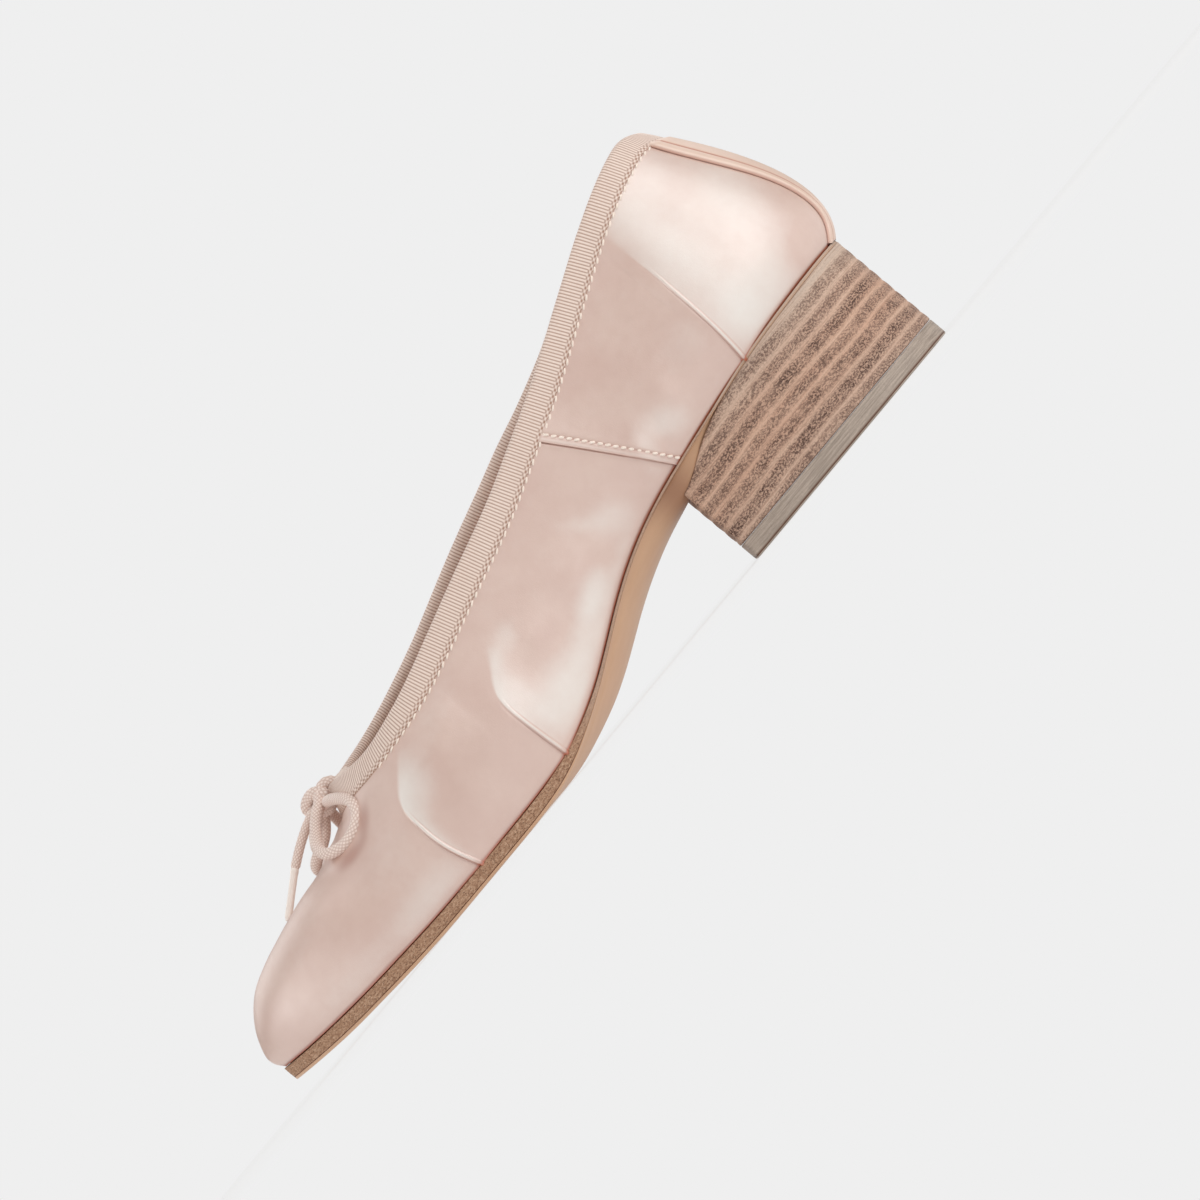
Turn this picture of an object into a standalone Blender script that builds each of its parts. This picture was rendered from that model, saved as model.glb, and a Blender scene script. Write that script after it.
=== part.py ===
"""Split-toe ballet flat on a low block heel: one left shoe, standing empty on its sole.

Frame: metres, +X to the toe, +Y to the lateral (outer) side, +Z up. The origin is on the ground
under the middle of the shoe's bounding box. Sizes in the tables are millimetres; "station" is the
distance from the back of the heel towards the toe.
"""
import bpy
import bmesh
import math
import numpy as np
from mathutils import Vector

# ---------------------------------------------------------------- driving dimensions (mm)
MM = 0.001
MID_STATION = 123.096    # station of the origin
SIDE_SHIFT = -1.158      # sideways place of the heel-to-toe axis
GAP = 0.3                # clearance between neighbouring pieces
WALL = 2.0               # upper: satin, interlining and lining together
BIND_WIDTH = 7.3         # grosgrain band, edge to edge
BIND_FRONT = 8.2         # the same at the front, where the band is folded into a tab
BIND_WALL = 2.6          # band folded over the edge of the upper
INSOLE_THICK = 2.0
SOLE_MARGIN = 0.5        # sole edge outside the feather line
FLAT = 0.03              # what of the sole is lower than this lies on the ground
LIFT = 5.0               # grey lift under the heel
BREAST = 77.0            # station of the heel's front face
STRIP_THICK = 0.8
CORD_D = 3.0
AGLET_D = 1.7

# feather line (where upper meets sole), sole edge and the sole's crowned waist
SOLE = [  # station, feather_z, edge_thickness, crown, crown_power
    (-2.0, 35.4, 1.0, 0.0, 5.0),
    (15.0, 35.3, 1.0, 0.0, 5.0),
    (25.0, 34.9, 1.0, 0.0, 5.0),
    (35.0, 34.3, 1.0, 0.0, 5.0),
    (45.0, 33.4, 1.0, 0.2, 5.0),
    (55.0, 32.0, 1.0, 0.9, 5.0),
    (65.0, 30.6, 1.0, 2.6, 5.0),
    (75.0, 29.2, 1.1, 4.0, 5.0),
    (85.0, 27.3, 1.2, 4.3, 4.2),
    (95.0, 24.5, 1.3, 4.5, 3.4),
    (105.0, 20.6, 1.4, 4.5, 3.0),
    (115.0, 15.8, 1.4, 4.3, 3.0),
    (125.0, 11.1, 1.6, 3.2, 3.0),
    (135.0, 7.6, 2.4, 2.0, 3.0),
    (145.0, 5.4, 3.6, 0.9, 3.0),
    (155.0, 4.5, 4.2, 0.1, 3.0),
    (165.0, 4.3, 4.3, 0.0, 3.0),
    (175.0, 4.3, 4.3, 0.0, 3.0),
    (185.0, 4.3, 4.3, 0.0, 3.0),
    (195.0, 4.5, 4.4, 0.0, 3.0),
    (205.0, 5.0, 4.5, 0.0, 3.0),
    (215.0, 5.6, 4.4, 0.0, 3.0),
    (225.0, 6.5, 4.5, 0.0, 3.0),
    (235.0, 7.7, 4.4, 0.0, 3.0),
    (248.0, 9.8, 4.3, 0.0, 3.0),
]

# plan of the last's bottom between the heel curve and the toe curve
HEEL_END, TOE_START = 45.0, 184.0
BACK = 6.2               # station of the feather line's back
WIDTH = [  # station, lateral, medial
    (HEEL_END, 28.0, 28.0),
    (60.0, 28.0, 27.8),
    (75.0, 27.3, 26.2),
    (90.0, 26.9, 24.0),
    (105.0, 27.9, 22.9),
    (120.0, 30.6, 24.0),
    (135.0, 34.2, 27.4),
    (150.0, 37.5, 31.8),
    (165.0, 39.7, 35.8),
    (175.0, 40.3, 37.7),
    (TOE_START, 40.5, 38.4),
]
HEEL_POWER = 2.25
TOE = {  # lobe: tip station, tip y, outer curve power, station where the cleft side starts to turn, power
    "lateral": dict(tip=244.7, tip_y=8.0, power=2.15, turn=226.0, inner_power=2.1),
    "medial": dict(tip=244.7, tip_y=-20.5, power=2.25, turn=228.0, inner_power=2.1),
}
CLEFT_BASE, CLEFT_BASE_Y = 210.0, -8.2      # bottom of the split at the sole
CLEFT_TURN_Y = {"lateral": -5.6, "medial": -8.8}
CLEFT_HALF = 0.9                            # half the split's width near its base
VALLEY_START = 197.0                        # where the split begins to show on the vamp

# top of the vamp and toe box, seen from the side
CROWN = [  # station, z
    (186.0, 37.7),
    (190.0, 36.5),
    (195.0, 35.0),
    (200.0, 34.2),
    (207.0, 33.2),
    (213.0, 31.9),
    (219.0, 30.9),
    (225.0, 29.9),
    (231.0, 28.2),
    (236.3, 25.8),
    (240.8, 21.9),
    (243.5, 18.0),
    (244.9, 15.0),
]

# topline: the band's upper edge
COLLAR_BACK, COLLAR_BACK_Z = 16.4, 88.6
COLLAR_HEEL, COLLAR_THROAT, COLLAR_FRONT = 45.0, 150.0, 186.3
COLLAR_PLAN = [  # station, lateral, medial
    (COLLAR_HEEL, 23.6, 23.6),
    (60.0, 24.9, 24.4),
    (75.0, 26.2, 24.8),
    (90.0, 27.6, 25.2),
    (105.0, 29.0, 25.8),
    (120.0, 30.3, 26.8),
    (135.0, 31.2, 27.9),
    (COLLAR_THROAT, 31.5, 28.4),
]
COLLAR_Z = [  # station, lateral, medial
    (COLLAR_BACK, COLLAR_BACK_Z, COLLAR_BACK_Z),
    (20.0, 90.3, 90.3),
    (25.0, 90.1, 90.1),
    (32.0, 88.3, 88.4),
    (40.0, 85.6, 85.8),
    (48.0, 82.5, 83.0),
    (56.0, 79.1, 80.0),
    (64.0, 75.7, 76.9),
    (72.0, 72.2, 73.8),
    (80.0, 68.9, 71.3),
    (88.0, 65.9, 69.1),
    (96.0, 63.1, 67.2),
    (106.0, 59.6, 64.4),
    (116.0, 56.7, 61.7),
    (126.0, 54.1, 58.9),
    (136.0, 51.3, 55.9),
    (146.0, 48.5, 52.9),
    (156.0, 45.9, 50.4),
    (166.0, 44.0, 48.2),
    (176.0, 43.4, 46.5),
    (183.0, 44.6, 45.6),
    (COLLAR_FRONT, 45.0, 45.0),
]
WALL_FORM = [  # row, lean of the topline in degrees, bulge out, rise of the first handle, length of the end handle
    # row counts the stretches of the shoe: 0 back seam, 1 end of heel curve, 2 start of throat, 3 throat front
    (0.0, 28.0, 11.0, 0.20, 0.38),
    (0.5, 20.0, 9.0, 0.20, 0.38),
    (1.0, 12.0, 7.0, 0.24, 0.34),
    (1.3, 8.0, 6.6, 0.30, 0.34),
    (1.6, 8.0, 6.6, 0.34, 0.34),
    (1.8, 12.0, 5.6, 0.38, 0.34),
    (2.0, 23.0, 4.6, 0.44, 0.34),
    (2.2, 35.0, 4.2, 0.48, 0.37),
    (2.4, 43.0, 3.8, 0.52, 0.40),
    (2.6, 38.0, 3.4, 0.55, 0.44),
    (2.8, 27.0, 3.0, 0.57, 0.49),
    (3.0, 20.0, 2.8, 0.58, 0.54),
]
VAMP_BULGE, VAMP_RISE = 2.8, 0.58                       # handles of the vamp's section
THROAT_REACH, VAMP_REACH = 0.74, 0.58                   # its top handle at the throat and at the split
LOBE_RISE, LOBE_REACH, LOBE_MIDDLE = 0.64, 0.66, 0.47   # handles of a toe lobe's section
NOSE = 0.5                                              # how far the toe leans forward at its top
SIDE = {"lateral": 1.0, "medial": -1.0}


# ---------------------------------------------------------------- small maths
def spline(xs, ys):
    """Natural cubic spline through a table, straight beyond its ends."""
    xs, ys = np.array(xs, float), np.array(ys, float)
    n = len(xs)
    h = np.diff(xs)
    a = np.zeros((n, n))
    b = np.zeros(n)
    a[0, 0] = a[-1, -1] = 1.0
    for i in range(1, n - 1):
        a[i, i - 1], a[i, i], a[i, i + 1] = h[i - 1], 2 * (h[i - 1] + h[i]), h[i]
        b[i] = 6 * ((ys[i + 1] - ys[i]) / h[i] - (ys[i] - ys[i - 1]) / h[i - 1])
    m = np.linalg.solve(a, b)

    def at(x):
        x = min(max(float(x), xs[0]), xs[-1])
        i = min(int(np.searchsorted(xs, x, side="right")) - 1, n - 2)
        i = max(i, 0)
        l, r = x - xs[i], xs[i + 1] - x
        return float((m[i] * r ** 3 + m[i + 1] * l ** 3) / (6 * h[i])
                     + (ys[i] / h[i] - m[i] * h[i] / 6) * r + (ys[i + 1] / h[i] - m[i + 1] * h[i] / 6) * l)
    return at


def columns(table):
    """One spline for each column after the first."""
    xs = [r[0] for r in table]
    return [spline(xs, [r[k] for r in table]) for k in range(1, len(table[0]))]


def flat_ends(xs, ys):
    """Spline whose slope is zero at both ends, for a curve that runs on into round ends."""
    d = 0.6
    return spline([xs[0] - d] + list(xs) + [xs[-1] + d], [ys[0]] + list(ys) + [ys[-1]])


def smooth(x):
    x = min(max(x, 0.0), 1.0)
    return x * x * (3 - 2 * x)


def root(x, p):
    return max(x, 0.0) ** (1.0 / p)


feather_z, edge_thick, crown_drop, crown_power = columns(SOLE)
crown_z, = columns(CROWN)
form_lean, form_bulge, form_rise, form_end = columns(WALL_FORM)
_w = [r[0] for r in WIDTH]
half_width = {"lateral": flat_ends(_w, [r[1] for r in WIDTH]), "medial": flat_ends(_w, [r[2] for r in WIDTH])}
_c = [r[0] for r in COLLAR_PLAN]
collar_half = {"lateral": spline(_c, [r[1] for r in COLLAR_PLAN]), "medial": spline(_c, [r[2] for r in COLLAR_PLAN])}
_z = [r[0] for r in COLLAR_Z]
collar_z = {"lateral": spline(_z, [r[1] for r in COLLAR_Z]), "medial": spline(_z, [r[2] for r in COLLAR_Z])}


def spine_y(s):
    """Middle line of the vamp, drifting from the throat to the split."""
    return CLEFT_BASE_Y * smooth((s - THROAT_S) / (CLEFT_BASE - THROAT_S))


# ---------------------------------------------------------------- plan outlines, by row
# A row is a number from 0 to 5: 0-1 round the heel, 1-2 along the waist and ball, 2-3 past the throat,
# 3-4 over the vamp to the base of the split, 4-5 along one lobe to its tip.


def superellipse(angle, p):
    """Unit superellipse point (cos, sin) at an angle in degrees."""
    c, s = math.cos(math.radians(angle)), math.sin(math.radians(angle))
    c, s = max(c, 0.0), max(s, 0.0)
    r = (c ** p + s ** p) ** (-1.0 / p)
    return c * r, s * r


def collar_point(side, row):
    """Plan point of the topline (row 0 to 3) and its height."""
    k = SIDE[side]
    if row <= 1.0:
        c, s = superellipse(90.0 * row, 2.15)
        x = COLLAR_HEEL - (COLLAR_HEEL - COLLAR_BACK) * c
        y = collar_half[side](COLLAR_HEEL) * s
    elif row <= 2.0:
        x = COLLAR_HEEL + (COLLAR_THROAT - COLLAR_HEEL) * (row - 1.0)
        y = collar_half[side](x)
    else:
        c, s = superellipse(90.0 * (row - 2.0), 2.3)
        x = COLLAR_THROAT + (COLLAR_FRONT - COLLAR_THROAT) * s
        y = collar_half[side](COLLAR_THROAT) * c
    return np.array([x, k * y, collar_z[side](x)])


def collar_inward(side, row):
    """Unit plan vector from the topline into the opening."""
    d = 1e-3
    a, b = collar_point(side, max(row - d, 0.0)), collar_point(side, min(row + d, 3.0))
    t = (b - a)[:2]
    t /= np.linalg.norm(t)
    n = np.array([t[1], -t[0]]) * SIDE[side]
    return np.array([n[0], n[1], 0.0])


def band_direction(side, row):
    lean = math.radians(form_lean(row))
    return np.array([0, 0, math.cos(lean)]) + collar_inward(side, row) * math.sin(lean)


def band_width(row):
    return BIND_WIDTH + (BIND_FRONT - BIND_WIDTH) * smooth((row - 2.45) / 0.35)


def band_foot(side, row):
    """Top edge of the satin, where the band takes over."""
    return collar_point(side, row) - band_direction(side, row) * band_width(row)


THROAT_S, _, THROAT_Z = (float(c) for c in band_foot("lateral", 3.0))


def outer_y(side, s):
    """Half-width of the feather outline at a station, outside of the toe lobe included."""
    k = SIDE[side]
    if s <= HEEL_END:
        x = (HEEL_END - s) / (HEEL_END - BACK)
        return k * half_width[side](HEEL_END) * root(1 - min(x, 1.0) ** HEEL_POWER, HEEL_POWER)
    if s <= TOE_START:
        return k * half_width[side](s)
    t = TOE[side]
    x = min((s - TOE_START) / (t["tip"] - TOE_START), 1.0)
    return t["tip_y"] + (k * half_width[side](TOE_START) - t["tip_y"]) * root(1 - x ** t["power"], t["power"])


def inner_y(side, s):
    """Split side of the toe lobe."""
    k, t = SIDE[side], TOE[side]
    if s <= CLEFT_BASE:
        return spine_y(s)
    turn, ty = t["turn"], CLEFT_TURN_Y[side]
    u = min((s - CLEFT_BASE) / (turn - CLEFT_BASE), 1.0)
    open_end = min((s - CLEFT_BASE) / 2.0, 1.0)
    y = CLEFT_BASE_Y + (ty - CLEFT_BASE_Y - k * CLEFT_HALF) * u + k * CLEFT_HALF * math.sqrt(1 - (1 - open_end) ** 2)
    if s > turn:
        x = min((s - turn) / (t["tip"] - turn), 1.0)
        y = t["tip_y"] + (ty - t["tip_y"]) * root(1 - x ** t["inner_power"], t["inner_power"])
    return y


def foot_point(side, row):
    """Feather-line point of a row, with its outward plan direction."""
    k = SIDE[side]
    if row <= 1.0:
        c, s = superellipse(90.0 * row, HEEL_POWER)
        x, y = HEEL_END - (HEEL_END - BACK) * c, k * half_width[side](HEEL_END) * s
    else:
        x = row_station(side, row)
        y = outer_y(side, x)
    return np.array([x, y, feather_z(x)])


def row_station(side, row):
    if row <= 2.0:
        return HEEL_END + (COLLAR_THROAT - HEEL_END) * (row - 1.0)
    if row <= 3.0:
        return COLLAR_THROAT + (THROAT_S - COLLAR_THROAT) * superellipse(90.0 * (row - 2.0), 2.3)[1]
    if row <= 4.0:
        return THROAT_S + (CLEFT_BASE - THROAT_S) * math.sin(math.radians(90.0 * (row - 3.0)))
    return CLEFT_BASE + (TOE[side]["tip"] - CLEFT_BASE) * math.sin(math.radians(90.0 * (row - 4.0)))


def foot_outward(side, row):
    if row >= 5.0:
        return np.array([1.0, 0.0, 0.0])
    if row <= 0.0:
        return np.array([-1.0, 0.0, 0.0])
    d = 1e-3
    a, b = foot_point(side, max(row - d, 0.0)), foot_point(side, min(row + d, 5.0))
    t = (b - a)[:2]
    t /= np.linalg.norm(t)
    n = np.array([-t[1], t[0]]) * SIDE[side]
    return np.array([n[0], n[1], 0.0])


def split_outward(side, row):
    """Plan direction out of a toe lobe into the split, turning to the front at the tip."""
    if row >= 5.0:
        return np.array([1.0, 0.0, 0.0])
    if row <= 4.0:
        return np.array([1.0, 0.0, 0.0])
    tip = TOE[side]["tip"]
    s = row_station(side, row)
    lo, hi = max(s - 0.04, CLEFT_BASE), min(s + 0.04, tip)
    slope = (inner_y(side, hi) - inner_y(side, lo)) / (hi - lo)
    n = np.array([slope, -1.0, 0.0]) * SIDE[side]
    return n / np.linalg.norm(n)


def bezier(p, v):
    a, b = 1.0 - v, v
    return a ** 3 * p[0] + 3 * a * a * b * p[1] + 3 * a * b * b * p[2] + b ** 3 * p[3]


UP = np.array([0.0, 0.0, 1.0])


def vamp_top(s):
    """Height of the vamp's middle line, run up to the throat edge."""
    return crown_z(s) + (THROAT_Z - crown_z(THROAT_S)) * (1 - smooth((s - THROAT_S) / 9.0))


def reach_at(s):
    return THROAT_REACH + (VAMP_REACH - THROAT_REACH) * smooth((s - THROAT_S) / (CLEFT_BASE - THROAT_S))


def arch(side, row):
    """Section of the vamp from the feather line up to its middle line (rows 3 to 4)."""
    f, n = foot_point(side, row), foot_outward(side, row)
    top = np.array([f[0], spine_y(f[0]), vamp_top(f[0])])
    rise, reach = top[2] - f[2], reach_at(f[0])
    return [f, f + n * VAMP_BULGE + UP * VAMP_RISE * rise, top + np.array([0, (f[1] - top[1]) * reach, 0]), top]


def lobe(side, row, depth):
    """Section over one toe lobe, outer half and inner half; depth 0 to 1 is how far its inner side has dropped."""
    f, n = foot_point(side, row), foot_outward(side, row)
    s = f[0]
    yi = inner_y(side, s)
    rise = vamp_top(s) - f[2]
    turn = smooth((s - TOE[side]["turn"]) / (TOE[side]["tip"] - TOE[side]["turn"]))
    mid = yi + (f[1] - yi) * LOBE_MIDDLE
    top = np.array([s + NOSE * smooth((s - 236.0) / 9.0), mid, vamp_top(s)])
    inner = np.array([s, yi, f[2] + rise * (1 - depth)])
    out = [f, f + n * VAMP_BULGE + UP * LOBE_RISE * rise, top + np.array([0, (f[1] - mid) * LOBE_REACH, 0]), top]
    side_bulge = 0.3 + (VAMP_BULGE - 0.3) * turn
    inn = [top, top + np.array([0, (yi - mid) * LOBE_REACH, 0]),
           inner + (split_outward(side, row) * side_bulge + UP * LOBE_RISE * rise) * depth, inner]
    return out, inn


def cut_arch(side, row, v):
    """The vamp's section, cut off where it meets the throat edge (rows 2 to 3)."""
    f, n = foot_point(side, row), foot_outward(side, row)
    e = band_foot(side, row)
    mid = spine_y(f[0])
    ys = [f[1], f[1] + n[1] * VAMP_BULGE, mid + (f[1] - mid) * THROAT_REACH, mid]
    lo, hi = 0.0, 1.0
    for _ in range(40):
        w = 0.5 * (lo + hi)
        lo, hi = (w, hi) if abs(bezier(ys, w) - mid) > abs(e[1] - mid) else (lo, w)
    w = 0.5 * (lo + hi)
    rise = (e[2] - f[2]) / bezier([0.0, VAMP_RISE, 1.0, 1.0], w)
    xs = [f[0], f[0] + n[0] * VAMP_BULGE, f[0], f[0]]
    u = v * w
    shift = (e[0] - f[0]) * v * v
    return np.array([bezier(xs, u) + shift, bezier(ys, u), f[2] + rise * bezier([0.0, VAMP_RISE, 1.0, 1.0], u)])


def surface(side, row, v):
    """Outer face of the upper. v runs from 0 at the feather line to 1 at the top edge, middle line or split."""
    if row <= 3.0:
        f, n = foot_point(side, row), foot_outward(side, row)
        e = band_foot(side, row)
        rise = e[2] - f[2]
        p = bezier([f, f + n * form_bulge(row) + UP * form_rise(row) * rise,
                    e - band_direction(side, row) * form_end(row) * rise, e], v)
        if row <= 2.0:
            return p
        k = smooth((row - 2.0) / 0.65)
        return p * (1 - k) + cut_arch(side, row, v) * k
    s = row_station(side, row)
    x = min(max((s - VALLEY_START) / (CLEFT_BASE - VALLEY_START), 0.0), 1.0)
    depth = 1.0 - math.sqrt(1.0 - x * x)
    out, inn = lobe(side, row, depth)
    q = bezier(out, 2 * v) if v <= 0.5 else bezier(inn, 2 * v - 1)
    k = smooth((s - THROAT_S) / (CLEFT_BASE - THROAT_S))
    return q if row >= 4.0 else bezier(arch(side, row), v) * (1 - k) + q * k


def normal(side, row, v, d=2e-3):
    r0, r1 = max(row - d, 0.0), min(row + d, 5.0)
    v0, v1 = max(v - d, 0.0), min(v + d, 1.0)
    a = surface(side, r1, v) - surface(side, r0, v)
    b = surface(side, row, v1) - surface(side, row, v0)
    n = np.cross(a, b) * -SIDE[side]
    if np.linalg.norm(n) < 1e-12:
        return foot_outward(side, row)
    return n / np.linalg.norm(n)


def place(p):
    """Table millimetres to scene metres."""
    return ((p[0] - MID_STATION) * MM, (p[1] + SIDE_SHIFT) * MM, p[2] * MM)


# ---------------------------------------------------------------- scene helpers
def clear_scene():
    for o in list(bpy.data.objects):
        bpy.data.objects.remove(o, do_unlink=True)


def material(name, color, rough, metallic=0.0):
    m = bpy.data.materials.new(name)
    m.use_nodes = True
    b = m.node_tree.nodes["Principled BSDF"]
    b.inputs["Base Color"].default_value = (*color, 1.0)
    b.inputs["Roughness"].default_value = rough
    b.inputs["Metallic"].default_value = metallic
    return m


def mesh_object(name, verts, faces, mat, coll, merge=0.00002):
    me = bpy.data.meshes.new(name)
    me.from_pydata([tuple(v) for v in verts], [], faces)
    bm = bmesh.new()
    bm.from_mesh(me)
    bmesh.ops.remove_doubles(bm, verts=bm.verts, dist=merge)
    bmesh.ops.recalc_face_normals(bm, faces=bm.faces)
    bm.to_mesh(me)
    bm.free()
    me.materials.append(mat)
    me.shade_smooth()
    ob = bpy.data.objects.new(name, me)
    coll.objects.link(ob)
    return ob


def outward_normals(ob, probe):
    """Flip the open surface if its faces look inward; probe gives a face's wanted direction."""
    me = ob.data
    bm = bmesh.new()
    bm.from_mesh(me)
    bm.faces.ensure_lookup_table()
    votes = sum(1 if f.normal.dot(probe(f.calc_center_median())) > 0 else -1 for f in bm.faces)
    if votes < 0:
        bmesh.ops.reverse_faces(bm, faces=bm.faces)
        bm.to_mesh(me)
    bm.free()


def grid(verts, faces, rows, flip=False):
    """Append a grid of rows of points and its quads."""
    base = len(verts)
    n = len(rows[0])
    for r in rows:
        verts.extend(place(p) for p in r)
    for i in range(len(rows) - 1):
        for j in range(n - 1):
            q = (base + i * n + j, base + (i + 1) * n + j, base + (i + 1) * n + j + 1, base + i * n + j + 1)
            faces.append(q[::-1] if flip else q)


def drop_degenerate(faces, verts):
    """Quads whose corners fall together become triangles or vanish."""
    out = []
    for f in faces:
        keep = []
        for i in f:
            if not any(max(abs(verts[i][k] - verts[j][k]) for k in range(3)) < 2e-5 for j in keep):
                keep.append(i)
        if len(keep) >= 3:
            out.append(tuple(keep))
    return out


# ---------------------------------------------------------------- rows used by the solids
def steps(a, b, n):
    return [a + (b - a) * i / n for i in range(n)]


UPPER_ROWS = steps(0, 1, 8) + steps(1, 2, 9) + steps(2, 3, 9) + steps(3, 4, 6) + steps(4, 5, 9) + [5.0]
UPPER_COLS = [i / 12 for i in range(13)]


def wall_direction(side, row, v):
    """Direction through the wall: level at the feather line and at the foot of the split, square to the face elsewhere."""
    n = normal(side, row, v)
    w = smooth(v / 0.14)
    n = foot_outward(side, row) * (1 - w) + n * w
    if row >= 4.0:
        f = foot_point(side, row)
        w = smooth((1 - v) / 0.14)
        n = split_outward(side, row) * (1 - w) + n * w
    if 3.0 <= row <= 4.0 and v == 1.0:
        n = normal("lateral", row, v) + normal("medial", row, v)
        n = np.array([n[0], 0.0, n[2]]) if row < 4.0 else np.array([1.0, 0.0, 0.0])
    if row in (0.0, 5.0):
        n = np.array([n[0], 0.0, n[2]])
    return n / np.linalg.norm(n)


def inner_surface(side, row, v):
    return surface(side, row, v) - wall_direction(side, row, v) * WALL


def build_upper(mat, coll):
    """Outer skin, inner skin, and the rims at the feather line, at the top edge and along the split."""
    verts, faces = [], []
    for side in SIDE:
        outer = [[surface(side, r, v) for v in UPPER_COLS] for r in UPPER_ROWS]
        inner = [[inner_surface(side, r, v) for v in UPPER_COLS] for r in UPPER_ROWS]
        grid(verts, faces, outer)
        grid(verts, faces, inner)
        grid(verts, faces, [[o[0], i[0]] for o, i in zip(outer, inner)])
        for lo, hi in ((0.0, 3.0), (4.0, 5.0)):
            grid(verts, faces, [[o[-1], i[-1]] for r, o, i in zip(UPPER_ROWS, outer, inner) if lo <= r <= hi])
    return mesh_object("upper", verts, drop_degenerate(faces, verts), mat, coll)


def plate_outer(side, row, inset):
    return foot_point(side, row) - foot_outward(side, row) * inset


def plate_inner(side, row, inset, split_inset):
    """Middle line of a plate, then the split side of its toe lobe."""
    base = CLEFT_BASE - split_inset
    if row <= 4.0:
        if row <= 1.0:
            s = HEEL_END - (HEEL_END - BACK - inset) * superellipse(90.0 * row, HEEL_POWER)[0]
        else:
            s = row_station("lateral", row)
        if row > 3.0:
            s = THROAT_S + (base - THROAT_S) * (s - THROAT_S) / (CLEFT_BASE - THROAT_S)
        return np.array([s, spine_y(s), 0.0])
    if row >= 5.0:
        return plate_outer(side, row, inset)
    tip = TOE[side]["tip"]
    s, n = row_station(side, row), split_outward(side, row)
    turn = smooth((s - TOE[side]["turn"]) / (tip - TOE[side]["turn"]))
    move = split_inset + (inset - split_inset) * turn
    return np.array([s - n[0] * move, inner_y(side, s) - n[1] * move, 0.0])


def build_plate(name, mat, coll, inset, split_inset, top_of, bottom_of, rows, cols):
    """A plate under the foot: two half grids that part along the split."""
    verts, faces = [], []
    for side in SIDE:
        top, bottom = [], []
        for r in rows:
            p, q = plate_outer(side, r, inset), plate_inner(side, r, inset, split_inset)
            row_t, row_b = [], []
            for c in cols:
                x, y = p[0] + (q[0] - p[0]) * c, p[1] + (q[1] - p[1]) * c
                row_t.append(np.array([x, y, top_of(x, y)]))
                row_b.append(np.array([x, y, bottom_of(x, y, c)]))
            top.append(row_t)
            bottom.append(row_b)
        grid(verts, faces, top)
        grid(verts, faces, bottom)
        grid(verts, faces, [[t[0], b[0]] for t, b in zip(top, bottom)])
        grid(verts, faces, [[t[-1], b[-1]] for r, t, b in zip(rows, top, bottom) if r >= 4.0])
    return mesh_object(name, verts, drop_degenerate(faces, verts), mat, coll)


def outline_fraction(x, y):
    """0 on the axis, 1 on the outline."""
    side = "lateral" if y >= 0 else "medial"
    w = abs(outer_y(side, x))
    return min(abs(y) / max(w, 1e-3), 1.0)


def sole_top(x, y):
    return feather_z(x) - GAP


def sole_bottom(x, y, c):
    f = 1.0 if c <= 0.0 else outline_fraction(x, y)
    z = feather_z(x) - edge_thick(x) - crown_drop(x) * (1 - f ** crown_power(x))
    return 0.0 if z < FLAT else z


PLATE_ROWS = steps(0, 1, 8) + steps(1, 2, 11) + steps(2, 3, 5) + steps(3, 4, 4) + steps(4, 5, 9) + [5.0]


def build_outsole(mat, coll):
    return build_plate("outsole", mat, coll, -SOLE_MARGIN, 0.0, sole_top, sole_bottom, PLATE_ROWS,
                       [0, 0.06, 0.2, 0.45, 0.7, 1.0])


def build_insole(mat, coll):
    inset = WALL + 0.8
    return build_plate("insole", mat, coll, inset, inset + 1.6, lambda x, y: feather_z(x) + INSOLE_THICK,
                       lambda x, y, c: feather_z(x), PLATE_ROWS, [0, 0.5, 1.0])


HEEL_PLAN = [  # station, lateral, medial: half-width of the heel block
    (HEEL_END, 27.9, 27.9),
    (52.0, 27.8, 27.8),
    (60.0, 27.2, 27.0),
    (68.0, 26.0, 25.6),
    (BREAST, 24.2, 23.6),
]
HEEL_BACK = 5.6
_h = [r[0] for r in HEEL_PLAN]
heel_half = {"lateral": flat_ends(_h, [r[1] for r in HEEL_PLAN]), "medial": flat_ends(_h, [r[2] for r in HEEL_PLAN])}


def heel_point(side, row, inset=0.0):
    """Plan outline of the heel: row 0 to 1 round the back, 1 to 2 along the side to the front face."""
    k = SIDE[side]
    if row <= 1.0:
        c, s = superellipse(90.0 * row, HEEL_POWER)
        return np.array([HEEL_END - (HEEL_END - HEEL_BACK - inset) * c, k * (heel_half[side](HEEL_END) - inset) * s])
    x = HEEL_END + (BREAST - HEEL_END) * (row - 1.0)
    return np.array([x, k * (heel_half[side](x) - inset)])


HEEL_ROWS = steps(0, 1, 10) + steps(1, 2, 5) + [2.0]


def build_heel_piece(name, mat, coll, bottom_of, top_of, cols):
    """A D-shaped block between two heights, as a grid of bars across the heel."""
    verts, faces = [], []
    top, bottom = [], []
    for r in HEEL_ROWS:
        p, q = heel_point("lateral", r), heel_point("medial", r)
        row_t, row_b = [], []
        for c in cols:
            x, y = p[0] + (q[0] - p[0]) * c, p[1] + (q[1] - p[1]) * c
            row_t.append(np.array([x, y, top_of(x, y)]))
            row_b.append(np.array([x, y, bottom_of(x, y)]))
        top.append(row_t)
        bottom.append(row_b)
    grid(verts, faces, top)
    grid(verts, faces, bottom)
    for j in (0, -1):
        grid(verts, faces, [[t[j], b[j]] for t, b in zip(top, bottom)])
    grid(verts, faces, [top[-1], bottom[-1]])
    return mesh_object(name, verts, drop_degenerate(faces, verts), mat, coll)


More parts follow.
